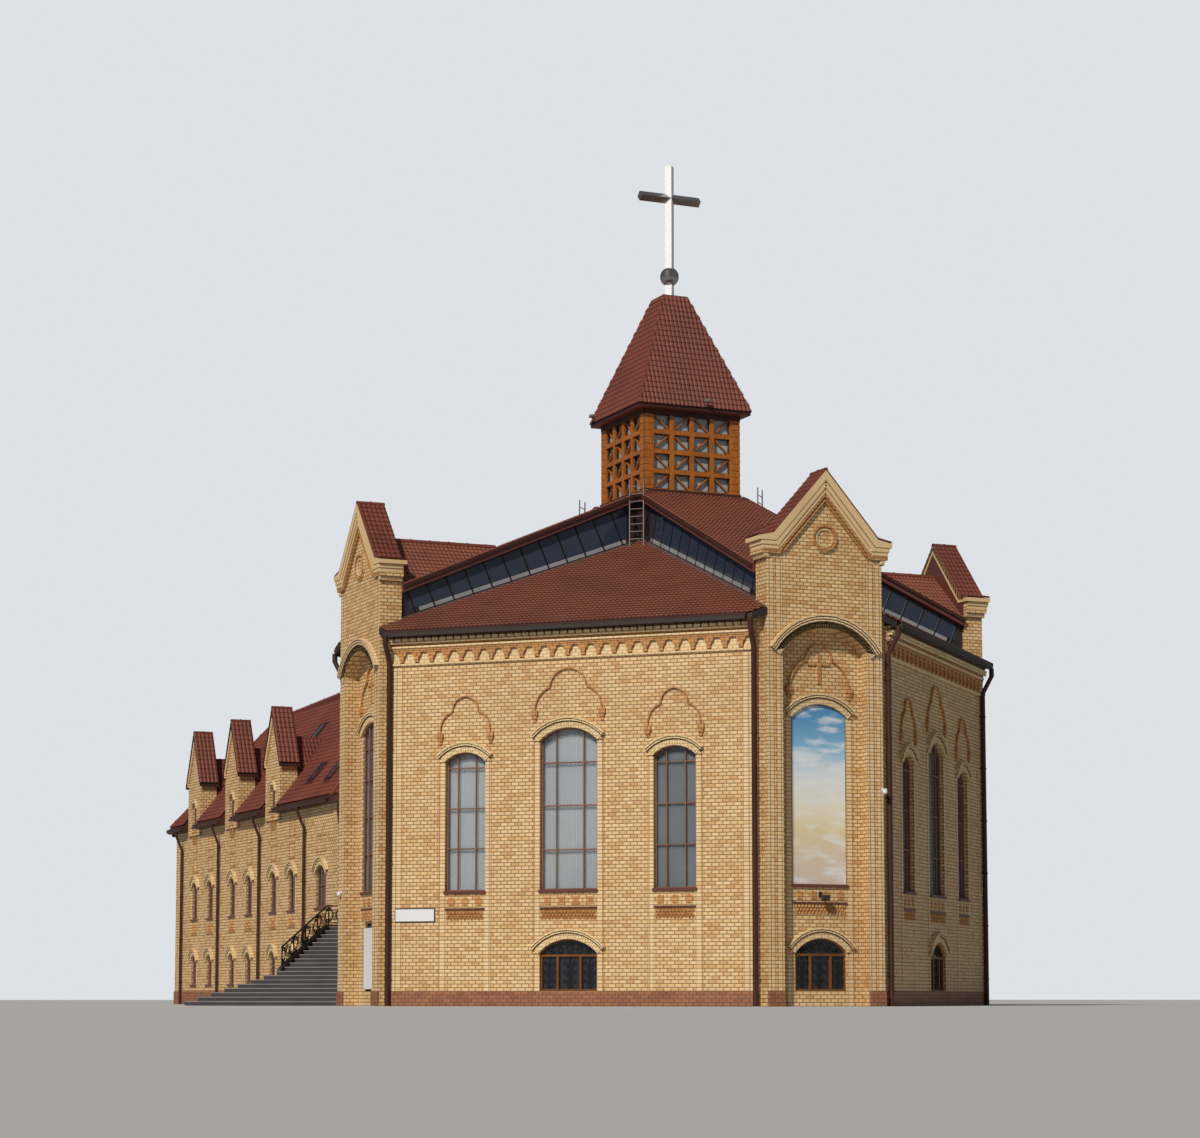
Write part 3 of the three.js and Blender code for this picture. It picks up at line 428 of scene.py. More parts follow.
def brickMaterial(name, tones, joint, length=0.158, course=0.075, gap=0.006, shift=0.5):
    material, tree, shader = newMaterial(name)
    bricks = useGroup(tree, coursedGroup, Length=length, Course=course, Joint=gap, Shift=shift)
    weather = useGroup(tree, weatherGroup, Broad=0.55, Fine=45.0)
    places = [i / (len(tones) - 1) for i in range(len(tones))]
    colour = ramp(tree, bricks["Tone"], list(zip(places, tones)))
    paler = blendColours(tree, 1.0, colour, (1.16, 1.18, 1.20, 1), "MULTIPLY")
    colour = blendColours(tree, bricks["Centre"], colour, paler)
    mottled = ranged(tree, weather["Grain"], 0.3, 0.7, 0.0, 0.30)
    colour = blendColours(tree, mottled, colour, (*tones[-1], 1))
    stained = calc(tree, "MULTIPLY", weather["Stain"], 0.18)
    colour = blendColours(tree, stained, colour, (0.36, 0.20, 0.09, 1))
    colour = blendColours(tree, bricks["Joint Mask"], colour, (*joint, 1))
    wire(tree, colour, shader.inputs["Base Color"])
    wire(tree, ranged(tree, bricks["Tone"], 0.0, 1.0, 0.45, 0.7), shader.inputs["Roughness"])
    relief = calc(tree, "ADD", bricks["Height"], calc(tree, "MULTIPLY", weather["Grain"], 0.25))
    bump(tree, shader, relief, 0.6, 0.006)
    return material


def mottledMaterial(name, colour, second, roughness, bumpDepth=0.002, fine=60.0, metallic=0.0, **sockets):
    # A plain finish with stains, streaks and grain
    material, tree, shader = newMaterial(name, roughness, Metallic=metallic, **sockets)
    weather = useGroup(tree, weatherGroup, Broad=0.8, Fine=fine)
    stained = calc(tree, "MULTIPLY", weather["Stain"], 0.5)
    mixed = blendColours(tree, stained, (*colour, 1), (*second, 1))
    mixed = blendColours(tree, calc(tree, "MULTIPLY", weather["Streak"], 0.35), mixed, (*second, 1))
    mixed = blendColours(tree, ranged(tree, weather["Grain"], 0.35, 0.7, 0.0, 0.25), mixed, (*second, 1))
    wire(tree, mixed, shader.inputs["Base Color"])
    wire(tree, ranged(tree, weather["Grain"], 0.3, 0.7, roughness - 0.06, roughness + 0.10),
         shader.inputs["Roughness"])
    bump(tree, shader, weather["Grain"], 0.4, bumpDepth)
    return material


cream, straw, orange = (0.69, 0.49, 0.26), (0.60, 0.38, 0.16), (0.50, 0.255, 0.085)
brick = brickMaterial("glazed brick", [orange, straw, cream, straw, cream], (0.22, 0.12, 0.05), gap=0.010)
stackBrick = brickMaterial("stacked pale brick", [straw, cream, (0.68, 0.52, 0.30)], (0.22, 0.12, 0.055),
                           length=0.125, gap=0.008, shift=0.0)
orangeBrick = brickMaterial("orange shaped brick", [(0.40, 0.165, 0.045), (0.52, 0.26, 0.08)],
                            (0.16, 0.07, 0.03))
plinthBrick = brickMaterial("dark plinth brick", [(0.20, 0.070, 0.035), (0.30, 0.12, 0.05)],
                            (0.10, 0.05, 0.03))
creamBrick = brickMaterial("cream shaped brick", [(0.74, 0.57, 0.33), (0.68, 0.49, 0.25)],
                           (0.30, 0.18, 0.09), gap=0.004)
tile = mottledMaterial("pressed metal tile", (0.180, 0.046, 0.028), (0.115, 0.032, 0.022), 0.5, 0.001, 90.0,
                       Specular_IOR_Level=0.35)
# A lighter copy of the same tile for the lower roofs and the arms' slopes, seen at a grazing angle: painted
# light
litTile = mottledMaterial("lit copy of metal tile", (0.245, 0.082, 0.052), (0.160, 0.055, 0.038), 0.5, 0.001,
                          90.0, Specular_IOR_Level=0.35)
brownMetal = mottledMaterial("brown painted metal", (0.060, 0.019, 0.014), (0.032, 0.012, 0.009), 0.5, 0.0006,
                             Specular_IOR_Level=0.3)
cladding = mottledMaterial("red-brown sheet metal", (0.135, 0.040, 0.030), (0.09, 0.028, 0.022), 0.4, 0.0008)
flashing = mottledMaterial("grey-brown flashing", (0.11, 0.075, 0.065), (0.06, 0.04, 0.035), 0.4, 0.0008)
frameWood = mottledMaterial("red-brown window frame", (0.235, 0.110, 0.080), (0.15, 0.07, 0.05), 0.45, 0.0006)
darkFrame = mottledMaterial("dark frame", (0.035, 0.022, 0.018), (0.02, 0.014, 0.012), 0.4, 0.0006)
stoneGrey = mottledMaterial("dark granite", (0.050, 0.041, 0.044), (0.028, 0.023, 0.026), 0.55, 0.002, 140.0)
stoneEdge = mottledMaterial("worn granite", (0.23, 0.20, 0.205), (0.13, 0.115, 0.12), 0.5, 0.002, 140.0)
concrete = mottledMaterial("plain concrete", (0.36, 0.35, 0.33), (0.26, 0.25, 0.24), 0.85, 0.003, 30.0)
# Thin dark bands between mouldings, and the soffit teeth under the gutter: painted shadow lines
shadowLine = mottledMaterial("painted shadow line", (0.11, 0.055, 0.028), (0.06, 0.03, 0.015), 0.8, 0.001)
greyBlind = mottledMaterial("grey inner blind", (0.20, 0.20, 0.21), (0.11, 0.11, 0.12), 0.8, 0.002, 40.0)
iron = mottledMaterial("black iron", (0.020, 0.017, 0.016), (0.035, 0.022, 0.014), 0.4, 0.001, 80.0, 0.6)
# Darkened chrome for the cross's arms and ball: painted shade on the arms, set against the bright shaft
chrome = mottledMaterial("polished chrome", (0.34, 0.32, 0.31), (0.20, 0.19, 0.19), 0.16, 0.0004, 20.0, 0.85)
# Near-black for the lower roof's edge and soffit under the gutter: painted shade
eavesShade = mottledMaterial("eaves board painted as shade", (0.026, 0.014, 0.011), (0.014, 0.008, 0.007), 0.6, 0.0006)
paleMoulding = mottledMaterial("pale rake moulding", (0.67, 0.48, 0.26), (0.56, 0.38, 0.19), 0.8, 0.001)
sillMetal = mottledMaterial("grey sill", (0.30, 0.30, 0.32), (0.20, 0.20, 0.22), 0.5, 0.0005)
ladderSteel = mottledMaterial("weathered ladder", (0.22, 0.17, 0.15), (0.12, 0.08, 0.07), 0.5, 0.0005)
whitePaint = mottledMaterial("white painted sheet", (0.74, 0.76, 0.80), (0.62, 0.64, 0.68), 0.35, 0.0004)
curtainCloth = mottledMaterial("white curtain", (0.90, 0.93, 0.95), (0.72, 0.77, 0.82), 0.9, 0.002, 20.0)


def timberMaterial(name, depth):
    material, tree, shader = newMaterial(name, 0.42)
    place = shaderNode(tree, "ShaderNodeTexCoord").outputs["Object"]
    grain = noise(tree, stretch(tree, place, (14.0, 14.0, 1.2)), 3.0, 6.0)
    weather = useGroup(tree, weatherGroup, Broad=1.6, Fine=70.0)
    stops = ((0.3, (0.27, 0.068, 0.006)), (0.5, (0.38, 0.115, 0.010)), (0.7, (0.46, 0.165, 0.020)))
    deepened = [(share, [value * depth for value in tone]) for share, tone in stops]
    colour = ramp(tree, grain, deepened)
    stain = (0.20 * depth, 0.06 * depth, 0.014 * depth, 1)
    colour = blendColours(tree, calc(tree, "MULTIPLY", weather["Stain"], 0.4), colour, stain)
    wire(tree, colour, shader.inputs["Base Color"])
    bump(tree, shader, grain, 0.5, 0.002)
    return material


def glassMaterial(name, colour, roughness, alpha):
    # Window glass: a sky-coloured gloss that lets some of the room show
    material, tree, shader = newMaterial(name, roughness, Alpha=alpha, Coat_Weight=0.6, Coat_Roughness=0.03)
    weather = useGroup(tree, weatherGroup, Broad=0.5, Fine=12.0)
    deeper = tuple(0.88 * value for value in colour)
    tint = blendColours(tree, weather["Stain"], (*colour, 1), (*deeper, 1))
    wire(tree, tint, shader.inputs["Base Color"])
    bump(tree, shader, weather["Stain"], 0.03, 0.004)
    return material


def steelMaterial():
    material, tree, shader = newMaterial("polished steel", 0.3, Metallic=0.15)
    weather = useGroup(tree, weatherGroup, Broad=0.4, Fine=25.0)
    colour = blendColours(tree, weather["Stain"], (1.0, 1.0, 1.0, 1), (0.97, 0.975, 0.98, 1))
    wire(tree, colour, shader.inputs["Base Color"])
    wire(tree, ranged(tree, weather["Grain"], 0.3, 0.7, 0.22, 0.36), shader.inputs["Roughness"])
    bump(tree, shader, weather["Grain"], 0.03, 0.001)
    return material


def bannerMaterial():
    material, tree, shader = newMaterial("printed banner cloth", 0.55, Sheen_Weight=0.1)
    place = shaderNode(tree, "ShaderNodeTexCoord").outputs["Object"]
    height = shaderNode(tree, "ShaderNodeSeparateXYZ", {0: place}).outputs["Z"]
    level = ranged(tree, height, 2.4, 6.1)
    sky = ramp(tree, level, [
        (0.0, (0.62, 0.50, 0.42)), (0.22, (0.72, 0.60, 0.36)), (0.42, (0.76, 0.72, 0.62)),
        (0.66, (0.66, 0.72, 0.78)), (0.84, (0.22, 0.46, 0.66)), (1.0, (0.06, 0.24, 0.48))])
    clouds = noise(tree, stretch(tree, place, (1.0, 1.0, 3.2)), 1.4, 7.0)
    bands = calc(tree, "MULTIPLY", ranged(tree, clouds, 0.46, 0.66), 0.7)
    colour = blendColours(tree, bands, sky, (0.76, 0.77, 0.78, 1))
    wire(tree, colour, shader.inputs["Base Color"])
    bump(tree, shader, noise(tree, place, 260.0, 2.0), 0.3, 0.0008)
    return material


timber = timberMaterial("oiled timber", 1.0)
darkTimber = timberMaterial("dark oiled timber", 0.45)
glass = glassMaterial("window glass", (0.24, 0.29, 0.33), 0.07, 0.30)
darkGlass = glassMaterial("shaded glass", (0.07, 0.09, 0.11), 0.08, 0.92)
blackGlass = glassMaterial("unlit glass", (0.022, 0.026, 0.032), 0.12, 1.0)
# Opaque near-black for the glazed strips and skylights: painted shade of the dark space behind the glass
roofGlass = glassMaterial("roof strip glass", (0.028, 0.038, 0.066), 0.12, 1.0)
# Opaque pale grey lantern panes: painted reflection of the sky
lanternGlass = glassMaterial("lantern glass", (0.37, 0.41, 0.43), 0.12, 1.0)
# Near-white base: painted highlight of the sunlit polished shaft, also given to the door pulls
steel = steelMaterial()

# Finishes of the frame's own pieces
finishes = {
    "wall_": brick, "bay_": brick, "wing_wall": brick, "porch_wall": brick, "glass_": glass,
    "glass_wing": darkGlass, "glass_porch": darkGlass, "gable_roof": paleMoulding, "upper_roof": cladding,
    "lower_roof": eavesShade, "clerestory": darkFrame, "tower_frame": timber, "tower_glass": lanternGlass,
    "tower_roof": tile, "cross": steel, "roof_ladder": ladderSteel,
    "hall_": concrete, "wing_ground": concrete, "wing_floor": concrete,
    "attic_floor": concrete, "wing_roof": brownMetal, "stair_lower": stoneGrey, "stair_upper": stoneGrey,
    "stair_balustrade": iron, "entrance_doors": timber,
}
for nodeName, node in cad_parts.items():
    chosen = max((start for start in finishes if nodeName.startswith(start)), key=len)
    node.data.materials.clear()
    node.data.materials.append(finishes[chosen])
print("finishes are made")


# Openings as in the walls of the frame, in the wall's own frame: x from the middle, z over the hall's ground
sideWindow = {"half": 0.90, "sill": 4.10, "spring": 9.50, "rise": 0.36}
middleWindow = {"half": 1.25, "sill": 4.10, "spring": 10.24, "rise": 0.50}
lowWindow = {"half": 1.25, "sill": 0.02, "spring": 1.58, "rise": 0.53}
bayWindow = {"half": 1.23, "sill": 4.24, "spring": 11.02, "rise": 0.50}
bayLowWindow = {"half": 1.14, "sill": 0.02, "spring": 1.58, "rise": 0.53}
wingWindow = {"half": 0.55, "sill": 4.06, "spring": 5.75, "rise": 0.38}
wideWindow = {"half": 0.80, "sill": 4.06, "spring": 5.70, "rise": 0.43}
wingLowWindow = {"half": 0.50, "sill": 0.45, "spring": 1.75, "rise": 0.36}
atticWindow = {"half": 0.40, "sill": 9.20, "spring": 10.20, "rise": 0.35}

hallFace = -12.197
bayFace = -14.70
recessFace = -14.10
wallTurns = {"southwest": -45, "southeast": 45, "northeast": 135, "northwest": -135}
sideTurns = {"south": 0, "east": 90, "north": 180, "west": -90}
hallWall = {"sideWindow": 4.60, "strip": 7.92, "stripTop": 13.52, "gutter": 7.85, "plinth": 8.12,
            "plinthGap": 1.28, "wingSide": 0.4}
lowerRoof = {"eaves": 12.80, "apex": 19.85, "slope": 0.518, "line": 2.40, "tiles": 2.66, "strip": 2.34,
             "stop": 14.74, "half": 8.5, "flashingEnd": 13.7, "flashing": 0.10}
upperRoof = {"top": 22.0, "slope": 0.43, "tower": 2.35, "end": 13.74, "verge": 2.75, "ridge": 19.4,
             "edge": 2.79, "saddle": 8}


# Heights of the two roofs at a distance from the tower's axis
def lowerHeight(distance):
    return lowerRoof["apex"] - lowerRoof["slope"] * (distance - lowerRoof["line"] * root2)


def upperHeight(distance):
    return upperRoof["top"] - upperRoof["slope"] * (distance - upperRoof["tower"])


def arcBetween(start, end, sagitta, width, y, steps, inward=0.5):
    # A thin bent bar from point to point, bulging to the left of its way by the sagitta
    alongX, alongZ = end[0] - start[0], end[1] - start[1]
    chord = hypot(alongX, alongZ)
    radius = (chord * chord / 4 + sagitta * sagitta) / (2 * sagitta)
    reach = (sagitta - radius) / chord
    hub = ((start[0] + end[0]) / 2 - alongZ * reach, (start[1] + end[1]) / 2 + alongX * reach)
    first = atan2(start[0] - hub[0], start[1] - hub[1])
    last = atan2(end[0] - hub[0], end[1] - hub[1])
    return spun(hub, radius - width * inward, width, y, first, (last - first) % (2 * pi), steps)


# The lines are thin dark bands between the fillets: painted shadow
hoodSizes = {"bricks": 0.24, "brickOut": 0.10, "brickLength": 0.10, "reach": 1.06,
             "fillets": [(0.27, 0.05, 0.17), (0.355, 0.07, 0.20)],
             "lines": [(0.23, 0.045, 0.13), (0.315, 0.045, 0.16)]}


def hood(opening, face, sizes=hoodSizes):
    # A ring of upright bricks under two stepped fillets, with thin dark bands between them as painted shadow
    # lines
    centre, radius, half = archShape(opening)
    half *= sizes["reach"]
    count = max(int(2 * half * radius / sizes["brickLength"]), 6)
    ring = spun((0, centre), radius - 0.005, sizes["bricks"], (face - sizes["brickOut"], face + 0.02), -half,
                2 * half, count, separate=0.14)
    fillets, lines = [], []
    for bands, kind in ((fillets, "fillets"), (lines, "lines")):
        for offset, width, out in sizes[kind]:
            bands.append(spun((0, centre), radius + offset, width, (face - out, face), -half, 2 * half, 14))
    return [ring] + fillets, lines


def windowBars(opening, y, columns, transoms, width=0.055, outer=0.075):
    # Frame with an arched head, standing bars and level bars
    half, sill, spring = opening["half"], opening["sill"], opening["spring"]
    centre, radius, sweep = archShape(opening)
    bars = [block((-half, outer - half), y, (sill, spring)), block((half - outer, half), y, (sill, spring)),
            block((-half, half), y, (sill, sill + outer)),
            spun((0, centre), radius - outer, outer, y, -sweep, 2 * sweep, 14)]
    for x in columns:
        bars.append(block((x - width / 2, x + width / 2), y, (sill, archHeight(opening, x) - 0.02)))
    for z in transoms:
        bars.append(block((-half, half), (y[0] + 0.01, y[1]), (z - width / 2, z + width / 2)))
    return bars


def archPane(opening, inset, y):
    half, steps = opening["half"] - inset, 10
    places = [half * cos(pi * i / steps) for i in range(steps + 1)]
    head = [(x, archHeight(opening, x) - inset) for x in places]
    return plate([(-half, opening["sill"] + inset), (half, opening["sill"] + inset)] + head, y)


def trefoil(half, foot, notch, peak, face, width=0.055, out=0.10):
    # Three raised arcs, standing on stepped brick blocks
    y = (face - out, face + 0.02)
    arcs = [arcBetween((-half, foot), (-notch[0], notch[1]), 0.19, width, y, 8),
            arcBetween((notch[0], notch[1]), (half, foot), 0.19, width, y, 8),
            arcBetween((-notch[0], notch[1]), (notch[0], notch[1]), peak - notch[1], width, y, 14)]
    blocks = []
    for side in (-1, 1):
        for wide, low, high, stand in ((0.30, -0.20, 0.02, 0.12), (0.22, -0.34, -0.20, 0.09),
                                       (0.14, -0.48, -0.34, 0.06)):
            middle = side * (half + 0.02)
            blocks.append(block((middle - wide / 2, middle + wide / 2), (face - stand, face + 0.02),
                                (foot + low, foot + high), 0.015))
    return arcs, blocks


def dogtooth(half, z, face, rows=3):
    # Rows of bricks set cornerwise
    teeth = []
    pitch = 0.155
    count = int(2 * half / pitch)
    tall = (z[1] - z[0]) / rows
    for row in range(rows):
        shift = pitch / 2 * (row % 2)
        deselectAll()
        bpy.ops.mesh.primitive_cylinder_add(
            vertices=4, radius=0.075 * modelScale, depth=(tall - 0.02) * modelScale,
            location=at(pitch * (1 - count) / 2 + shift, face, z[0] + (row + 0.5) * tall))
        tooth = settle(bpy.context.object)
        teeth.append(repeat(tooth, (pitch, 0, 0), count - row % 2))
    return teeth


def belowWindow(half, sill, face, squares, out=0.10):
    # Metal sill, band of square blocks, ledge and dogtooth under a hall window
    sills = [block((-half - 0.05, half + 0.05), (face - out, face + 0.20), (sill - 0.10, sill + 0.02), 0.02),
             block((-half, half), (face - 0.07, face + 0.02), (sill - 0.76, sill - 0.69), 0.015)]
    pitch = 0.61
    bricks = []
    for i in range(squares):
        middle = (i - (squares - 1) / 2) * pitch
        bricks.append(block((middle - 0.14, middle + 0.14), (face - 0.030, face + 0.02),
                            (sill - 0.59, sill - 0.26), 0.012))
    teeth = dogtooth(half, (sill - 1.16, sill - 0.78), face)
    return sills, bricks, teeth


def strips(places, z, face, wide=0.26, out=0.014):
    # Upright strips of stacked bricks, each from an edge towards one side, with a thin line past it
    pale, lines = [], []
    for edge, side in places:
        ends = sorted((edge, edge + side * wide))
        pale.append(block(ends, (face - out, face + 0.02), z, 0.004))
        line = sorted((edge + side * (wide + 0.006), edge + side * (wide + 0.034)))
        lines.append(block(line, (face - 0.006, face + 0.02), z, 0.0))
    return pale, lines


def joinUnit(unit):
    # One template mesh for each finish of a unit
    return {part: join(pieces) for part, pieces in unit.items() if pieces}


def hallWindowUnit(opening, columns, transoms, arch, squares):
    arcs, blocks = trefoil(*arch, hallFace)
    rings, lines = hood(opening, hallFace)
    sills, squareBricks, teeth = belowWindow(opening["half"], opening["sill"], hallFace, squares)
    edge = opening["half"]
    pale, joints = strips([(-edge, -1), (edge, 1)], (siteLevel, opening["spring"] + 0.02), hallFace)
    return joinUnit({
        "fillets": rings, "orange_bricks": arcs + blocks + squareBricks + teeth, "shadow_lines": lines,
        "sills": sills, "pale_strips": pale, "joint_lines": joints,
        "frames": windowBars(opening, (hallFace + 0.16, hallFace + 0.25), columns, transoms),
    })


grille = {"crowns": ((0, 1.76, 0.16), (-0.34, 1.70, 0.13), (0.34, 1.70, 0.13), (-0.64, 1.63, 0.10),
                     (0.64, 1.63, 0.10)),
          "stems": (-0.70, 0, 0.70), "levels": (0.26, 0.62, 0.98), "curl": 0.20}


def lowWindowUnit(opening, face, deep):
    # Timber posts with a transom, scroll grilles, and dark panes behind them
    half = opening["half"]
    y = (face + deep, face + deep + 0.09)
    woods = windowBars(opening, y, [], [], 0.06, 0.07)
    for x in (-0.40 * half, 0.40 * half):
        woods.append(block((x - 0.055, x + 0.055), (y[0] - 0.03, y[1]), (0.02, 1.42), 0.02))
    woods.append(block((-half, half), (y[0] - 0.03, y[1]), (1.39, 1.49), 0.02))
    scrolls = []
    front = (y[0] + 0.01, y[0] + 0.03)
    for x, z, radius in grille["crowns"]:
        for inner in (1.0, 0.55):
            scrolls.append(spun((x * half, z), radius * inner, 0.022, front, 0, fullTurn, 14))
    for x in [share * half for share in grille["stems"]]:
        scrolls.append(block((x - 0.010, x + 0.010), front, (0.08, 1.40), 0))
        for z in grille["levels"]:
            low, high = (x, z - 0.14), (x, z + 0.16)
            for ends in ((low, high), (high, low)):
                scrolls.append(arcBetween(*ends, 0.11, 0.020, front, 8))
            for curl in (-grille["curl"], grille["curl"]):
                scrolls.append(spun((x + curl, high[1]), 0.06, 0.018, front, 0, fullTurn, 10))
    panes = [block((-half - 0.05, half + 0.05), (y[1] + 0.005, y[1] + 0.03),
                   (0.04, opening["spring"] + 0.6), 0.004)]
    rings, lines = hood(opening, face)
    return joinUnit({"fillets": rings, "shadow_lines": lines, "low_posts": woods, "grilles": scrolls,
                     "dark_panes": panes})


sideColumns, middleColumns = (-0.40, 0.40), (-0.60, 0.60)
units = {
    "side": hallWindowUnit(sideWindow, sideColumns, (5.87, 7.53, 9.21),
                           (1.12, 10.66, (0.58, 11.56), 12.18), 3),
    "middle": hallWindowUnit(middleWindow, middleColumns, (5.75, 7.55, 9.31),
                             (1.47, 11.45, (0.81, 12.42), 13.18), 4),
    "low": lowWindowUnit(lowWindow, hallFace, 0.10),
}
print("hall windows are modelled")

cornice = {"pitch": 0.68, "end": 8.03, "shortEnd": 0.80, "string": (13.57, 13.67), "corbels": (13.70, 14.22),
           "fillets": [(14.28, 14.37, 0.25), (14.46, 14.55, 0.36)], "dentils": (14.56, 14.68, 0.41),
           "body": (14.20, 14.84, 0.20), "soffit": (14.71, 14.84, 0.46), "backing": (13.66, 14.24, 0.042),
           "tooth": 0.27, "toothPitch": 0.34}


def corbel(x, face):
    # A wide head over a neck, and a narrow foot
    low, high = cornice["corbels"]
    piece = block((x - 0.34, x + 0.34), (face - 0.15, face), (low, high), 0)
    levels = [(0.86, 1.0), (0.81, 0.62), (0.56, 0.50), (0.42, 0.32), (0.30, 0.25), (0.0, 0.27)]
    for share, _ in levels[:-1]:
        edit(piece)
        bpy.ops.mesh.bisect(plane_co=at(0, 0, low + share * (high - low)), plane_no=(0, 0, 1))
        objectMode()
    for share, wide in levels:
        height = at(0, 0, low + share * (high - low)).z
        selectPart(piece, "VERT", lambda spot: abs(spot.z - height) < 0.002)
        bpy.ops.transform.resize(value=(wide, 1, 1), center_override=at(x, 0, 0))
    edit(piece)
    bpy.ops.mesh.normals_make_consistent(inside=False)
    objectMode()
    return piece


def corniceUnit(left, right):
    # All bands under one gutter, between two ends
    face = hallFace
    count = int((right - left - 0.3) / cornice["pitch"])
    first = (left + right) / 2 - cornice["pitch"] * (count - 1) / 2
    corbels = repeat(corbel(first, face - 0.02), (cornice["pitch"], 0, 0), count)
    bands = [block((left, right), (face - 0.11, face), cornice["string"], 0.02)]
    for low, high, out in cornice["fillets"]:
        bands.append(block((left, right), (face - out, face), (low, high), 0.02))
    low, high, out = cornice["dentils"]
    tooth, pitch = cornice["tooth"], cornice["toothPitch"]
    dentil = block((left, left + tooth), (face - out, face), (low, high), 0.015)
    bands.append(repeat(dentil, (pitch, 0, 0), int((right - left) / pitch)))
    low, high, out = cornice["backing"]
    bands.append(block((left, right), (face - out, face), (low, high), 0))
    # The soffit teeth take the shadow-line colour: painted shade under the gutter
    low, high, out = cornice["soffit"]
    deep = block((left + 0.05, left + tooth), (face - out, face), (low, high), 0.01)
    deep = repeat(deep, (pitch, 0, 0), int((right - left - 0.1) / pitch))
    low, high, out = cornice["body"]
    body = block((left, right), (face - out, face), (low, high), 0)
    return {"corbels": [corbels, body], "fillets": bands, "pale_strips": [], "shadow_lines": [deep]}


gutter = {"out": 12.75, "pipe": 0.115, "pipeAt": 8.03, "deep": 0.12, "rounding": 0.05}
pipe = {"sides": 12, "bend": 0.40, "outlet": 0.35, "firstClip": 1.2, "clipPitch": 2.4, "noClip": 1.3}


def trough(x, y, z, rounding):
    # A gutter with a rounded underside and a lip on its outer edge
    body = block(x, y, z, 0)
    edit(body)
    selectPart(body, "FACE", lambda face: face.normal.z < -0.9)
    bpy.ops.mesh.bevel(offset=rounding * modelScale, segments=4, affect="EDGES")
    objectMode()
    return [body, block(x, (y[0] - 0.02, y[0] + 0.01), (z[1] - 0.025, z[1] + 0.015), 0.01)]


def gutterUnit(left, right, pipes):
    # Gutter over the eaves edge, and downpipes with a swan neck
    top = lowerHeight(gutter["out"])
    pieces = trough((left - 0.02, right + 0.02), (-gutter["out"] - 0.17, -gutter["out"] + 0.05),
                    (top - gutter["deep"], top + 0.005), gutter["rounding"])
    for x in pipes:
        pieces.append(downpipe(x, siteLevel, top - 0.2, -gutter["out"] - 0.04, hallFace - 0.16,
                               gutter["pipe"]))
    return pieces


def downpipe(x, foot, top, eavesY, wallY, radius):
    # A pipe drawn out of a round face, from the ground up to the gutter, with brackets
    deselectAll()
    bpy.ops.mesh.primitive_circle_add(vertices=pipe["sides"], radius=radius * modelScale, fill_type="NGON",
                                      location=at(x, wallY, foot))
    piece = settle(bpy.context.object)
    edit(piece)
    bend = (0, (eavesY - wallY) / 2, pipe["bend"])
    straight = top - foot - 2 * pipe["bend"] - pipe["outlet"]
    for step in ((0, 0, straight), bend, bend, (0, 0, pipe["outlet"])):
        bpy.ops.mesh.extrude_region_move(TRANSFORM_OT_translate={"value": Vector(step) * modelScale})
    bpy.ops.mesh.select_all(action="SELECT")
    bpy.ops.mesh.normals_make_consistent(inside=False)
    objectMode()
    bpy.ops.object.shade_smooth_by_angle(angle=radians(50))
    rings = []
    height = foot + pipe["firstClip"]
    while height < top - pipe["noClip"]:
        deselectAll()
        bpy.ops.mesh.primitive_cylinder_add(vertices=pipe["sides"], radius=(radius + 0.025) * modelScale,
                                            depth=0.05 * modelScale, location=at(x, wallY, height))
        rings.append(settle(bpy.context.object))
        rings.append(block((x - 0.03, x + 0.03), (wallY, wallY + 0.16), (height - 0.02, height + 0.02), 0))
        height += pipe["clipPitch"]
    return join([piece] + rings)


partFinish = {
    "fillets": (creamBrick, "brick"), "orange_bricks": (orangeBrick, "brick"),
    "corbels": (orangeBrick, "brick"), "shadow_lines": (shadowLine, "brick"), "sills": (cladding, "frame"),
    "pale_strips": (stackBrick, "brick"), "joint_lines": (orangeBrick, "brick"),
    "frames": (frameWood, "frame"), "low_posts": (darkTimber, "timber"), "grilles": (iron, "iron"),
    "dark_panes": (blackGlass, "glass"), "gutter": (brownMetal, "frame"), "panes": (darkGlass, "glass"),
}


def dressWall(name, turn, windows, extra, shift=0.0):
    # Copies of the units at their places, joined by finish.
    # The shift moves them in from the face that they were made on.
    parts = {part: list(pieces) for part, pieces in extra.items()}
    for pieces in parts.values():
        for piece in pieces:
            piece.rotation_euler = (0, 0, radians(turn))
            settle(piece)
    for unit, x in windows:
        for part, piece in unit.items():
            parts.setdefault(part, []).append(copy(piece, turn, (x, shift, 0)))
    for part, pieces in parts.items():
        material, slot = partFinish[part]
        finishPiece(f"{name}_{part}", pieces, material)


sidePlace, cornerStrip = hallWall["sideWindow"], hallWall["strip"]
leftWindow, rightWindow = (units["side"], -sidePlace), (units["side"], sidePlace)
hallWindows = [leftWindow, (units["middle"], 0), rightWindow, (units["low"], 0)]
leftStrip, rightStrip = (-cornerStrip, 1), (cornerStrip, -1)
end, short = cornice["end"], cornice["shortEnd"]
for wall, left, right, windows, ends in (
        ("southwest", -end, end, hallWindows, [leftStrip, rightStrip]),
        ("southeast", -end, end, hallWindows, [leftStrip, rightStrip]),
        ("northeast", -end, short, [leftWindow], [leftStrip]),
        ("northwest", -short, end, [rightWindow], [rightStrip])):
    extra = corniceUnit(left, right)
    pale, lines = strips(ends, (siteLevel, hallWall["stripTop"]), hallFace, 0.40)
    extra["pale_strips"] += pale
    extra["joint_lines"] = lines
    pipes = [sign * gutter["pipeAt"] for sign, limit in ((-1, left), (1, right)) if abs(limit) == end]
    extra["gutter"] = gutterUnit(max(left, -hallWall["gutter"]), min(right, hallWall["gutter"]), pipes)
    dressWall(wall, wallTurns[wall], windows, extra)
for unit in units.values():
    discard(unit.values())
print("wide walls are dressed")


# Tiled roofs. A slope is laid in one frame of its own, with its eaves along X, then set on its plane.
tileSize = {"wave": 0.20, "course": 0.29, "crest": 0.052, "step": 0.030, "under": 0.015, "lift": 0.012,
            "columns": 4}


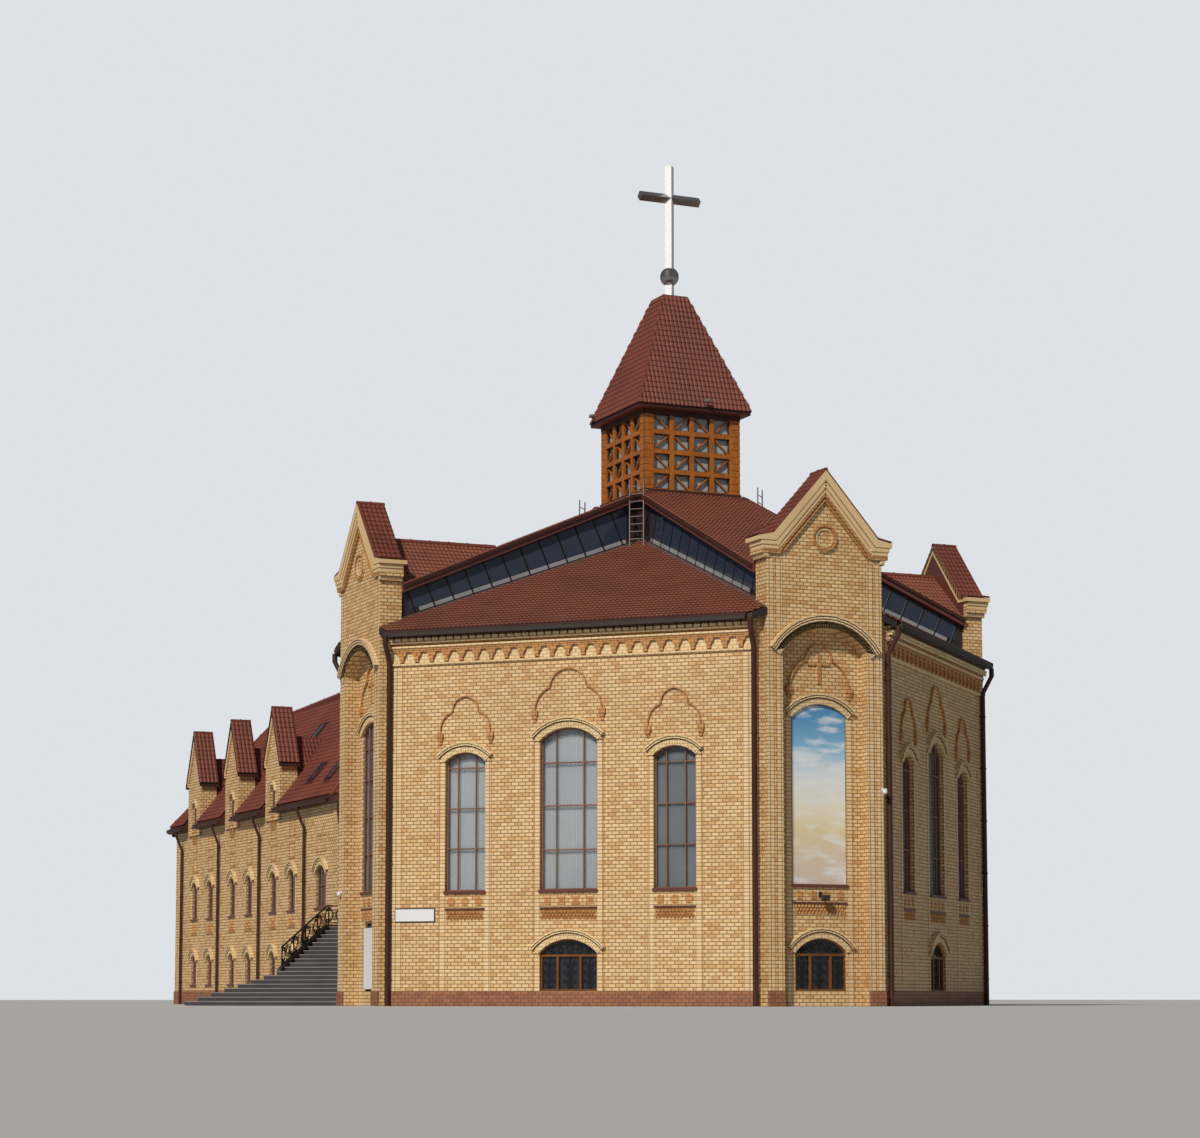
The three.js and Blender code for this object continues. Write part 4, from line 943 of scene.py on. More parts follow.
def oneTile(wave, course):
    # One wave of one course, higher at its lower edge, where a small step shows
    deselectAll()
    bpy.ops.mesh.primitive_grid_add(x_subdivisions=tileSize["columns"], y_subdivisions=1, size=1,
                                    location=(0.5, 0.5, 0))
    piece = settle(bpy.context.object)
    piece.scale = (wave * modelScale, course * modelScale, 1)
    settle(piece)
    for column in range(1, tileSize["columns"]):
        share = column / tileSize["columns"]
        place = share * wave * modelScale
        edit(piece)
        selectPart(piece, "VERT", lambda spot: abs(spot.x - place) < 0.001)
        bpy.ops.transform.translate(value=(0, 0, tileSize["crest"] * modelScale * sqrt(sin(pi * share))))
    edit(piece)
    selectPart(piece, "VERT", lambda spot: spot.y < 0.001)
    step = tileSize["step"] * modelScale
    bpy.ops.transform.translate(value=(0, 0, step))
    under = tileSize["under"] * modelScale
    bpy.ops.mesh.extrude_region_move(TRANSFORM_OT_translate={"value": (0, under, -step)})
    objectMode()
    return piece


def slopeAxes(start, end, slope):
    # Along the eaves, up the slope and out of it, for eaves with the roof rising to their left
    along = (Vector(end) - Vector(start)).normalized()
    inward = Vector((0, 0, 1)).cross(along).normalized()
    upward = (inward + Vector((0, 0, slope))).normalized()
    return along, upward, along.cross(upward)


def tileSlope(start, end, slope, run, cuts=()):
    # Tiles up from the eaves, which run from start to end.
    # Each cut is a plan line through a point, and what lies where its normal points is dropped.
    first, last = Vector(start), Vector(end)
    width, length = (last - first).length, run * hypot(1, slope)
    waves, courses = max(round(width / tileSize["wave"]), 1), max(round(length / tileSize["course"]), 1)
    wave, course = width / waves, length / courses
    sheet = repeat(oneTile(wave, course), (0, course, 0), courses)
    sheet = applyModifier(sheet, "ARRAY", use_relative_offset=False, use_constant_offset=True, count=waves,
                          constant_offset_displace=(wave * modelScale, 0, 0), use_merge_vertices=True,
                          merge_threshold=0.0006)
    pick([sheet])
    bpy.ops.object.shade_smooth_by_angle(angle=radians(60))
    axes = Matrix(slopeAxes(start, end, slope)).transposed().to_4x4()
    foot = at(*first) + axes.col[2].to_3d() * tileSize["lift"] * modelScale
    sheet.matrix_world = Matrix.Translation(foot) @ axes
    settle(sheet)
    for (x, y), (normalX, normalY) in cuts:
        bisect(sheet, at(x, y, 0), Vector((normalX, normalY, 0)))
    return sheet


def cutOut(sheet, x, y):
    # Opens a rectangle of the plan in a laid slope
    low, high = at(x[0], y[0], 0), at(x[1], y[1], 0)
    for point, normal in ((low, (1, 0, 0)), (high, (1, 0, 0)), (low, (0, 1, 0)), (high, (0, 1, 0))):
        bisect(sheet, point, normal, clear=False)
    edit(sheet)
    selectPart(sheet, "FACE", lambda face: low.x < face.center.x < high.x and low.y < face.center.y < high.y)
    bpy.ops.mesh.delete(type="FACE")
    objectMode()
    return sheet


def cap(start, end, radius=0.13):
    # A round ridge or hip cap with evenly spaced collars
    a, b = at(*start), at(*end)
    run = b - a
    turn = run.to_track_quat("Z", "Y").to_euler()
    deselectAll()
    bpy.ops.mesh.primitive_cylinder_add(vertices=8, radius=radius * modelScale, depth=run.length,
                                        location=(a + b) / 2, rotation=turn)
    pieces = [settle(bpy.context.object)]
    collarPitch = 0.45
    count = max(round(run.length / collarPitch), 1)
    for i in range(count):
        bpy.ops.mesh.primitive_cylinder_add(vertices=8, radius=(radius + 0.02) * modelScale, depth=0.03,
                                            location=a + run * (i + 0.5) / count, rotation=turn)
        pieces.append(settle(bpy.context.object))
    cover = join(pieces)
    bpy.ops.object.shade_smooth_by_angle(angle=radians(40))
    return cover


def plate(outline, y, bevel=0.0):
    # A flat plate with the given outline in x and z, between two planes of y
    deselectAll()
    bpy.ops.mesh.primitive_circle_add(vertices=len(outline), radius=1, fill_type="NGON", location=(0, 0, 0))
    piece = settle(bpy.context.object)
    for vertex, (x, z) in zip(piece.data.vertices, outline):
        vertex.co = at(x, y[0], z)
    edit(piece)
    bpy.ops.mesh.extrude_region_move(TRANSFORM_OT_translate={"value": (0, (y[1] - y[0]) * modelScale, 0)})
    bpy.ops.mesh.select_all(action="SELECT")
    bpy.ops.mesh.normals_make_consistent(inside=False)
    if bevel:
        bpy.ops.mesh.bevel(offset=bevel * modelScale, segments=1, affect="EDGES")
    objectMode()
    return piece


# A flashing plate lies on a slope's own plane, with cuts given as for its tiles
def layPlate(start, end, slope, run, thick, cuts):
    first, last = Vector(start), Vector(end)
    axes = Matrix(slopeAxes(start, end, slope)).transposed().to_4x4()
    length = run * hypot(1, slope)
    deselectAll()
    bpy.ops.mesh.primitive_cube_add(size=1, scale=Vector(((last - first).length, length, thick)) * modelScale)
    piece = settle(bpy.context.object)
    middle = at(*(first + last) / 2) + axes.col[1].to_3d() * length / 2 * modelScale
    piece.matrix_world = Matrix.Translation(middle) @ axes
    settle(piece)
    for (x, y), (normalX, normalY) in cuts:
        bisect(piece, at(x, y, 0), Vector((normalX, normalY, 0)), fill=True)
    return piece


def lowerTiles(name, turn, notch=None):
    # In the wall's own frame the two glazed strips stand on lines at 45 degrees
    eaves, stop = lowerRoof["eaves"], lowerRoof["stop"] * root2
    inner, outer = lowerRoof["strip"] * root2, lowerRoof["tiles"] * root2
    left, right = [(side * lowerRoof["half"], -eaves, lowerHeight(eaves)) for side in (-1, 1)]
    ends = [((0, -stop), (-1, -1)), ((0, -stop), (1, -1))]
    sheet = tileSlope(left, right, lowerRoof["slope"], eaves - outer,
                      ends + [((0, -outer), (1, 1)), ((0, -outer), (-1, 1))])
    if notch:
        cutOut(sheet, notch, (-eaves - 0.5, hallFace + 0.01))
    finishPiece(f"{name}_lower_tiles", [sheet], litTile, turn)
    plates = []
    for side in (-1, 1):
        cuts = [((0, -inner), (side, 1)), ((0, -outer), (-side, -1)), ((0, -inner), (-side, 1)),
                ((0, -lowerRoof["flashingEnd"] * root2), (side, -1))]
        plates.append(layPlate(left, right, lowerRoof["slope"], eaves - inner, lowerRoof["flashing"], cuts))
    finishPiece(f"{name}_flashing", plates, flashing, turn)


wingNotches = {"northeast": (0.84, 9), "northwest": (-9, -0.84)}  # where the wing meets the hall's eaves
for name, turn in wallTurns.items():
    lowerTiles(name, turn, wingNotches.get(name))
print("lower roofs are tiled")


def armTiles():
    # One arm: its long slope in two halves, and the saddle that runs back from the gable
    end, verge, ridge = upperRoof["end"], upperRoof["verge"], upperRoof["ridge"]
    low, saddle, edge = upperHeight(end), upperRoof["saddle"], upperRoof["edge"]
    valley = (ridge - low) / verge / upperRoof["slope"]
    meeting = (0, -upperRoof["tower"] - (upperRoof["top"] - ridge) / upperRoof["slope"])
    run = end - upperRoof["tower"]
    saddleSlope = (ridge - low) / verge
    sheets = [
        tileSlope((0, -end, low), (verge, -end, low), upperRoof["slope"], run, [(meeting, (-valley, -1))]),
        tileSlope((-verge, -end, low), (0, -end, low), upperRoof["slope"], run, [(meeting, (valley, -1))]),
        tileSlope((verge, -end, low), (verge, -saddle, low), saddleSlope, verge, [(meeting, (valley, 1))]),
        tileSlope((-verge, -saddle, low), (-verge, -end, low), saddleSlope, verge, [(meeting, (-valley, 1))]),
    ]
    covers = [cap((0, -end, ridge + 0.02), (0, meeting[1] - 0.1, ridge + 0.02))]
    edges = [beam((side * edge, -end, low - 0.05), (side * edge, -edge, upperHeight(edge) - 0.05), 0.15, 0.08)
             for side in (-1, 1)]
    return join(sheets), join(covers), join(edges)


gableRoof = {"tip": 3.02, "tipTop": 18.12, "kink": 2.37, "kinkTop": 18.26, "peak": 20.95,
             "front": -14.915, "back": -13.65}


def gableTiles():
    part = gableRoof
    steep = (part["peak"] - part["kinkTop"]) / part["kink"]
    flat = (part["kinkTop"] - part["tipTop"]) / (part["tip"] - part["kink"])
    sheets, boards = [], []
    for side in (-1, 1):
        first, last = (part["front"], part["back"]) if side > 0 else (part["back"], part["front"])
        for x, z, slope, run in ((part["kink"], part["kinkTop"], steep, part["kink"]),
                                 (part["tip"], part["tipTop"], flat, part["tip"] - part["kink"])):
            sheets.append(tileSlope((side * x, first, z), (side * x, last, z), slope, run))
        for y, wide, lift in ((part["front"] + 0.04, 0.08, 0.16), (part["back"] - 0.03, 0.20, 0)):
            boards.append(beam((side * 3.0, y, 18.03 + lift), (side * 2.33, y, 18.17 + lift), wide, 0.06))
            boards.append(beam((side * 2.37, y, 18.15 + lift), (0, y, 20.84 + lift), wide, 0.06))
    cover = cap((0, part["front"], part["peak"] + 0.02), (0, part["back"], part["peak"] + 0.02), 0.10)
    return join(sheets + [cover]), join(boards)


arm, armCovers, armEdges = armTiles()
gableSheet, gableBoards = gableTiles()
armParts = (("arm_tiles", arm, litTile, "tile"), ("arm_ridge", armCovers, tile, "tile"),
            ("arm_edges", armEdges, brownMetal, "frame"), ("gable_tiles", gableSheet, tile, "tile"),
            ("gable_boards", gableBoards, tile, "tile"))
for name, turn in sideTurns.items():
    for part, template, material, slot in armParts:
        finishPiece(f"{name}_{part}", [copy(template, turn)], material)
discard([arm, armCovers, armEdges, gableSheet, gableBoards])
print("upper roof is tiled")

# Tower roof: one side, copied round, with caps on the hips
spire = {"half": 2.74, "foot": 25.91, "top": 31.45, "topHalf": 0.565, "hip": 0.065, "lid": 0.60,
         "lidHeights": (31.40, 31.49)}


def spireParts():
    half, top = spire["half"], spire["topHalf"]
    run = half - top
    left, right = [(side * half, -half, spire["foot"]) for side in (-1, 1)]
    sheet = tileSlope(left, right, (spire["top"] - spire["foot"]) / run, run,
                      [((0, 0), (1, 1)), ((0, 0), (-1, 1))])
    return sheet, cap(right, (top, -top, spire["top"]), spire["hip"])


spireSide, spireHip = spireParts()
lidSpan = (-spire["lid"], spire["lid"])
allRound("spire_tiles", spireSide, tile)
allRound("spire_hips", spireHip, tile, [block(lidSpan, lidSpan, spire["lidHeights"], 0.02)])
print("tower roof is tiled")

# Wing: every slope rises inward from its own eaves, and ends where another slope is lower.
# For each eaves: the inward direction, the run to the origin, and the stretch along the eaves.
diagonal = 1 / root2
wingEaves = {
    "west": ((1, 0), 11.70, (-42.6, -12.9)), "east": ((-1, 0), 11.70, (12.9, 42.6)),
    "north": ((0, -1), 42.60, (-11.7, 11.7)),
    "porch_west": ((diagonal, diagonal), -0.873, (-17.5, -12.21)),
    "porch_east": ((-diagonal, diagonal), -0.873, (12.21, 17.5)),
}
mansard = {"foot": 9.25, "run": 4.90, "slope": 6.05 / 4.90, "deckRun": 6.60, "deckSlope": 0.46}
gablePlaces = (23.4, 30.8, 38.2)
dormer = {"half": 1.25, "tip": 1.45, "tipTop": 11.57, "ridge": 14.45, "front": 11.515, "back": 10.42,
          "linkFoot": 11.20, "linkRidge": 12.95, "linkEnd": 8.3, "linkCap": 8.75}


def wingTiles(name):
    inward, offset, (first, last) = wingEaves[name]
    inward = Vector(inward)
    along = Vector((inward.y, -inward.x))
    cuts = []
    for other, (direction, reach, _) in wingEaves.items():
        if other != name:
            across = inward - Vector(direction)
            cuts.append((across * (reach - offset) / across.length_squared, across))
    sheets = []
    for run, foot, slope, length in ((0.09, mansard["foot"] + 0.11, mansard["slope"], mansard["run"] - 0.09),
                                     (mansard["run"], mansard["foot"] + mansard["run"] * mansard["slope"],
                                      mansard["deckSlope"], mansard["deckRun"])):
        line = inward * (run - offset)
        start, end = line + along * first, line + along * last
        sheets.append(tileSlope((*start, foot), (*end, foot), slope, length, cuts))
    if name in ("west", "east"):
        side = inward.x
        for place in gablePlaces:
            cutOut(sheets[0], sorted((-13 * side, -10.48 * side)), (place - 1.27, place + 1.27))
    return sheets


for name in wingEaves:
    lowerSheet, deckSheet = wingTiles(name)
    finishPiece(f"wing_{name}_steep_tiles", [lowerSheet], tile)
    finishPiece(f"wing_{name}_top_tiles", [deckSheet], tile)
print("wing roof is tiled")


def smallRoofs(side, place):
    # Tiles of one wall gable and of the link behind it; side is -1 to the west and 1 to the east
    sheets = []
    steep = (dormer["ridge"] - dormer["tipTop"]) / dormer["tip"]
    linkSlope = (dormer["linkRidge"] - dormer["linkFoot"]) / dormer["half"]
    outer, inner, end = side * dormer["front"], side * dormer["back"], side * dormer["linkEnd"]
    for fall in (-1, 1):
        for reach, foot, slope, ends in ((dormer["tip"], dormer["tipTop"], steep, (outer, inner)),
                                         (dormer["half"], dormer["linkFoot"], linkSlope, (inner, end))):
            first, last = sorted(ends) if fall < 0 else sorted(ends, reverse=True)
            y = place + fall * reach
            sheets.append(tileSlope((first, y, foot), (last, y, foot), slope, reach))
            if reach == dormer["half"]:
                downward = Vector((-side * mansard["slope"], 0, -1))
                bisect(sheets[-1], at(side * 11.7, 0, mansard["foot"]), downward)
    sheets.append(cap((outer, place, dormer["ridge"] + 0.02), (inner, place, dormer["ridge"] + 0.02), 0.08))
    linkTop = dormer["linkRidge"] + 0.02
    sheets.append(cap((inner, place, linkTop), (side * dormer["linkCap"], place, linkTop), 0.08))
    return sheets


for side, name in ((-1, "west"), (1, "east")):
    sheets = []
    for place in gablePlaces:
        sheets += smallRoofs(side, place)
    finishPiece(f"wing_{name}_gable_tiles", sheets, tile)

# Corners of the wing's roof: distance from the middle line, place along the wing, height
roofCorners = {
    "northEaves": (11.58, 42.42, 9.40), "northKnee": (6.8, 37.7, 15.32), "northRidge": (0.2, 31.1, 18.36),
    "southEaves": (11.7, 12.93, 9.30), "southKnee": (6.8, 14.96, 15.32), "southRidge": (0.2, 17.70, 18.36),
}
hipLines = (("northEaves", "northKnee", 0.11), ("northKnee", "northRidge", 0.13),
            ("southEaves", "southKnee", 0.13), ("southKnee", "southRidge", 0.13),
            ("northKnee", "southKnee", 0.08))
ridgeCap = {"ends": (31.1, 17.7), "height": 18.37, "radius": 0.16}


def roofCorner(name, side):
    out, along, height = roofCorners[name]
    return (side * out, along, height)


hips = [cap(roofCorner(first, side), roofCorner(last, side), radius)
        for side in (-1, 1) for first, last, radius in hipLines]
hips.append(cap(*[(0, along, ridgeCap["height"]) for along in ridgeCap["ends"]], ridgeCap["radius"]))
hips.append(cap(roofCorner("northKnee", -1), roofCorner("northKnee", 1), 0.08))
finishPiece("wing_hips", hips, tile)
print("wing hips and small roofs are laid")

# Bays: stacked brick piers, the moulded arch of the recess, a relief cross, a window and a low window
def rakeLine(drop, wide, out, depth):
    # A pair of sloping mouldings under the gable's roof, the drop measured down from the roof
    low, high = Vector((2.25, 0, 17.95)), Vector((0, 0, 20.55))
    slope = (high - low).normalized()
    shift = Vector((-slope.z, 0, slope.x)) * (drop + wide / 2)
    pieces = []
    for side in (-1, 1):
        first, last = low + shift - slope * 0.1, high + shift
        last = first + slope * ((0 - first.x) / slope.x)
        y = bayFace - out + depth / 2
        pieces.append(beam((side * first.x, y, first.z), (side * last.x, y, last.z), wide, depth))
    return pieces


# Steps from the roof down: inner and outer end, heights, and how far each stands out
kneelerSteps = ((2.05, 2.92, (17.76, 17.94), 0.19), (2.12, 2.87, (17.60, 17.76), 0.15),
                (2.55, 2.76, (17.30, 17.47), 0.08))


def kneeler(side):
    # Stepped blocks that carry the foot of the gable's roof, wrapped round the bay's corner
    pale, warm = [], []
    for inner, outer, z, out in kneelerSteps:
        pale.append(block(sorted((side * inner, side * outer)), (bayFace - out, -13.77), z, 0.02))
    warm.append(block(sorted((side * 2.0, side * 2.82)), (bayFace - 0.14, -13.78), (17.49, 17.58), 0.01))
    return pale, warm


bayHood = {"bricks": 0.26, "brickOut": 0.10, "brickLength": 0.10, "reach": 1.12,
           "fillets": [(0.29, 0.06, 0.16), (0.39, 0.06, 0.185), (0.49, 0.07, 0.215)],
           "lines": [(0.25, 0.045, 0.13), (0.345, 0.05, 0.16), (0.445, 0.05, 0.18)]}


recess = {"half": 1.90, "sill": 0, "spring": 13.60, "rise": 0.92}
gableRing = {"height": 18.19, "rings": ((0.34, 0.05, 0.06), (0.48, 0.07, 0.10)), "bricks": (0.40, 0.07, 0.05)}


def bayUnit():
    # What the south, east and west bays share, in the frame of the south bay
    rings, lines = hood(recess, bayFace, bayHood)
    windowRings, windowLines = hood(bayWindow, recessFace)
    arcs, imposts = trefoil(1.35, 12.20, (0.57, 13.30), 13.92, recessFace)
    sills, squares, teeth = belowWindow(bayWindow["half"], bayWindow["sill"], recessFace, 4)
    relief = [block((-0.075, 0.075), (recessFace - 0.07, recessFace), (12.34, 13.56), 0.015),
              block((-0.50, 0.50), (recessFace - 0.075, recessFace), (13.08, 13.23), 0.015)]
    pale, joints = strips([(-1.92, -1), (1.92, 1), (-2.60, 1), (2.60, -1)], (siteLevel, 17.22), bayFace)
    for side in (-1, 1):
        jamb, jambJoint = strips([(side * 1.24, side)], (siteLevel, 11.0), recessFace, 0.25)
        pale += jamb
        joints += jambJoint
    hub = (0, gableRing["height"])
    ringOut = [spun(hub, radius, width, (bayFace - out, bayFace), 0, fullTurn, 28)
               for radius, width, out in gableRing["rings"]]
    radius, width, out = gableRing["bricks"]
    wheel = spun(hub, radius, width, (bayFace - out, bayFace), 0, 2 * pi, 26, separate=0.14)
    paleRakes = rakeLine(0.03, 0.16, 0.20, 0.16) + rakeLine(0.21, 0.12, 0.16, 0.12)
    warmRakes = rakeLine(0.36, 0.06, 0.15, 0.10) + rakeLine(0.50, 0.06, 0.13, 0.10)
    plinth = [block(sorted((side * 1.9, side * 2.66)), (bayFace - 0.06, bayFace + 0.05),
                    (siteLevel, 0.02), 0.02) for side in (-1, 1)]
    for side in (-1, 1):
        paleBlocks, warmBlocks = kneeler(side)
        paleRakes += paleBlocks
        warmRakes += warmBlocks
    parts = {
        "fillets": rings + windowRings + [ringOut[0]], "rakes": paleRakes, "pale_strips": pale,
        "joint_lines": joints,
        "orange_bricks": arcs + imposts + squares + teeth + relief + warmRakes + [ringOut[1], wheel],
        "shadow_lines": lines + windowLines,
        "sills": sills, "plinth": plinth, "gable_back": [gableBack()],
    }
    return joinUnit(parts)


def gableBack():
    # Sheet metal on the gable's back, above the roofs
    return plate([(-2.60, 16.6), (2.60, 16.6), (2.60, 17.93), (2.2, 17.93), (0, 20.48), (-2.2, 17.93),
                  (-2.60, 17.93)], (-13.735, -13.70))


def placeUnit(unit, name, turn, move=(0, 0, 0)):
    for part, piece in unit.items():
        material, slot = partFinish[part]
        finishPiece(f"{name}_{part}", [copy(piece, turn, move)], material)


partFinish.update({"plinth": (plinthBrick, "brick"), "gable_back": (cladding, "frame"),
                   "rakes": (paleMoulding, "brick")})
openBays = ("south", "east", "west")
bayParts = bayUnit()
for name in openBays:
    placeUnit(bayParts, f"bay_{name}", sideTurns[name])
placeUnit({"gable_back": bayParts["gable_back"]}, "bay_north", sideTurns["north"])
discard(bayParts.values())
lowBay = lowWindowUnit(bayLowWindow, recessFace, 0.015)
for name in ("south", "east"):
    placeUnit(lowBay, f"bay_{name}_low", sideTurns[name])
discard(lowBay.values())
bars = joinUnit({"frames": windowBars(bayWindow, (recessFace + 0.05, recessFace + 0.13), (-0.60, 0.60),
                                      (5.85, 7.45, 9.05, 10.40))})
for name in openBays:
    placeUnit(bars, f"bay_{name}_window", sideTurns[name])
discard(bars.values())

# West bay: its low doorway has a frame, and a blank white board stands in front
lowDoor = {"x": (-0.77, 1.71), "post": 0.08, "sill": 0.02, "head": 2.97, "middle": (0.43, 0.51),
           "transom": (2.14, 2.22), "board": (-0.66, 0.40), "boardHeights": (0.10, 2.70)}


def lowDoorFrame():
    (left, right), post, sill, head = lowDoor["x"], lowDoor["post"], lowDoor["sill"], lowDoor["head"]
    outer, inner = [(recessFace + near, recessFace + 0.12) for near in (0.02, 0.03)]
    return [block((left, left + post), outer, (sill, head)),
            block((right - post, right), outer, (sill, head)),
            block((left, right), outer, (head - 0.08, head + 0.01)),
            block(lowDoor["middle"], inner, (sill, head - 0.05)),
            block((left, right), inner, lowDoor["transom"])]


finishPiece("bay_west_doorway_frame", lowDoorFrame(), frameWood, sideTurns["west"])
board = block(lowDoor["board"], (recessFace - 0.10, recessFace - 0.05), lowDoor["boardHeights"], 0.02)
finishPiece("bay_west_board", [board], whitePaint, sideTurns["west"])

# A plinth of dark brick along the wide walls
end, gap, wingSide = hallWall["plinth"], hallWall["plinthGap"], hallWall["wingSide"]
for name, left, right in (("southwest", -end, end), ("southeast", -end, end),
                          ("northeast", -end, -wingSide), ("northwest", wingSide, end)):
    stretches = [(left, -gap), (gap, right)] if left < 0 < right else [(left, right)]
    plinth = [block(span, (hallFace - 0.06, hallFace + 0.05), (siteLevel, 0.0), 0.02) for span in stretches]
    plinth.append(block((left, right), (hallFace - 0.05, hallFace + 0.05), (siteLevel, -0.02), 0.02))
    finishPiece(f"{name}_plinth", plinth, plinthBrick, wallTurns[name])

# Street plate without words, its border dark
streetPlate = {"x": (-7.77, -5.93), "z": (2.85, 3.43), "border": 0.04}
border = block(streetPlate["x"], (hallFace - 0.05, hallFace - 0.01), streetPlate["z"])
inside = [(low + streetPlate["border"], high - streetPlate["border"])
          for low, high in (streetPlate["x"], streetPlate["z"])]
face = block(inside[0], (hallFace - 0.06, hallFace - 0.04), inside[1], 0.005)
finishPiece("street_plate_border", [border], darkFrame, wallTurns["southwest"])
finishPiece("street_plate", [face], whitePaint, wallTurns["southwest"])
print("bays are dressed")

# Glazed strips between the roofs: panes on both sides of the strip's middle plane
glazing = {
    "line": lowerRoof["line"], "thick": 0.16, "panes": (-13.40, -3.25), "uncut": (12, 22),
    "sill": 0.27, "head": 0.42,
    "bars": (3.20, 13.45), "count": 12, "bar": (0.19, 0.075), "barHead": 0.34, "fall": 0.366, "least": 0.2,
    "ledge": (-12.9, -3.30), "ledgeLift": 0.165, "ledgeSize": 0.17,
}


def stripPanes():
    line, half = glazing["line"], glazing["thick"] / 2
    sill = [(y, lowerHeight((line - y) / root2) + glazing["sill"]) for y in glazing["panes"]]
    head = [(y, upperHeight(-y) - glazing["head"]) for y in glazing["panes"]]
    pane = block((-line - half, half - line), glazing["panes"], glazing["uncut"], 0)
    for (firstY, firstZ), (lastY, lastZ), side in ((*sill, -1), (*head, 1)):
        normal = Vector((0, firstZ - lastZ, lastY - firstY)) * side
        bisect(pane, at(0, firstY, firstZ), normal, fill=True)
    return join([pane, mirror(pane)])


def stripBars():
    # Mullions over the panes, square to the upper roof's edge
    pieces = []
    nearest, farthest = glazing["bars"]
    slope = upperRoof["slope"]
    for i in range(glazing["count"] + 1):
        along = nearest + (farthest - nearest) * i / glazing["count"]
        head = (along, upperHeight(along) - glazing["barHead"])
        opening = head[1] - lowerHeight((glazing["line"] + along) / root2)
        drop = max(opening, glazing["least"]) / (1 + slope * glazing["fall"])
        foot = (along - slope * drop, head[1] - drop)
        for x in (-glazing["line"], glazing["line"]):
            pieces.append(beam((x, -foot[0], foot[1]), (x, -head[0], head[1]), *glazing["bar"]))
    return join(pieces)


def stripLedges():
    line, size = glazing["line"], glazing["ledgeSize"]
    ends = [(line, y, lowerHeight((line - y) / root2) + glazing["ledgeLift"]) for y in glazing["ledge"]]
    ledge = beam(*ends, size, size)
    return join([ledge, mirror(ledge)])


allRound("roof_strip_panes", stripPanes(), roofGlass)
allRound("roof_strip_bars", stripBars(), iron)
allRound("roof_strip_sills", stripLedges(), sillMetal)
print("glazed strips are made")

# Tower: a diagonal brace in every pane, boards on the corner posts, a dark frieze and a curb
tower = {"half": 2.35, "post": 0.48, "panes": 4, "bar": 0.20, "foot": 22.0, "top": 25.75,
         "brace": (0.065, 0.12), "braceIn": 0.14, "bead": 0.035, "beadIn": (0.10, 0.18),
         "boardPitch": 0.308, "boards": 12}


def towerSide():
    pitch = (2 * (tower["half"] - tower["post"]) + tower["bar"]) / tower["panes"]
    rise = (tower["top"] - tower["foot"] - tower["bar"]) / tower["panes"]
    face, bead = -tower["half"], tower["bead"]
    braceY, beadY = face + tower["braceIn"], [face + depth for depth in tower["beadIn"]]
    braces, boards, beads = [], [], []
    for row in range(tower["panes"]):
        for column in range(tower["panes"]):
            left = face + tower["post"] + column * pitch
            low = tower["foot"] + tower["bar"] + row * rise
            right, high = left + pitch - tower["bar"], low + rise - tower["bar"]
            ends = (right, left) if (row + column) % 2 else (left, right)
            braces.append(beam((ends[0], braceY, low), (ends[1], braceY, high), *tower["brace"]))
            for x in ((left, left + bead), (right - bead, right)):
                beads.append(block(x, beadY, (low, high), 0))
            for z in ((low, low + bead), (high - bead, high)):
                beads.append(block((left, right), beadY, z, 0))
    board = block((face - 0.02, face + tower["post"] - 0.05), (face - 0.02, face + 0.02),
                  (tower["foot"] + 0.02, tower["foot"] + 0.30), 0.012)
    boards.append(repeat(board, (0, 0, tower["boardPitch"]), tower["boards"]))
    boards.append(mirror(boards[0]))
    frieze = block((face - 0.03, -face + 0.03), (face - 0.03, face + 0.03), (25.52, 25.745), 0.01)
    soffit = block((face - 0.36, -face + 0.36), (face - 0.36, face - 0.02), (25.755, 25.80), 0.01)
    fascia = block((face - 0.385, -face + 0.385), (face - 0.385, face - 0.35), (25.76, 25.93), 0.01)
    curb = block((face - 0.07, -face + 0.07), (face - 0.07, face - 0.01), (21.96, 22.16), 0.02)
    return join(braces + boards), join(beads), join([frieze, soffit, fascia, curb])


braces, beads, trims = towerSide()
allRound("tower_braces", braces, timber)
allRound("tower_beads", beads, darkFrame)
allRound("tower_trims", trims, brownMetal)

# Cross: square bars set on edge through a faceted ball
crossSize = {"side": 0.165, "foot": 31.47, "top": 37.65, "bar": 36.12, "half": 1.50, "ball": 32.48,
             "radius": 0.435, "base": 0.30, "baseHeights": (31.485, 31.55)}


def crossPieces():
    side = (-crossSize["side"], crossSize["side"])
    shaft = block(side, side, (crossSize["foot"], crossSize["top"]), 0.012)
    shaft.rotation_euler = (0, 0, radians(45))
    baseSpan = (-crossSize["base"], crossSize["base"])
    base = block(baseSpan, baseSpan, crossSize["baseHeights"], 0.015)
    level = [edge - hallGround for edge in side]  # about the frame's origin, where the bar is turned on edge
    arms = block((-crossSize["half"], crossSize["half"]), side, level, 0.012)
    arms.rotation_euler = (radians(45), 0, 0)
    arms.location = at(0, 0, crossSize["bar"])
    deselectAll()
    bpy.ops.mesh.primitive_uv_sphere_add(segments=14, ring_count=9, radius=crossSize["radius"] * modelScale,
                                         location=at(0, 0, crossSize["ball"]))
    ball = settle(bpy.context.object)
    edit(ball)
    bpy.ops.mesh.inset(thickness=0.006, depth=0.002, use_individual=True)
    objectMode()
    return settle(shaft), settle(base), settle(arms), ball
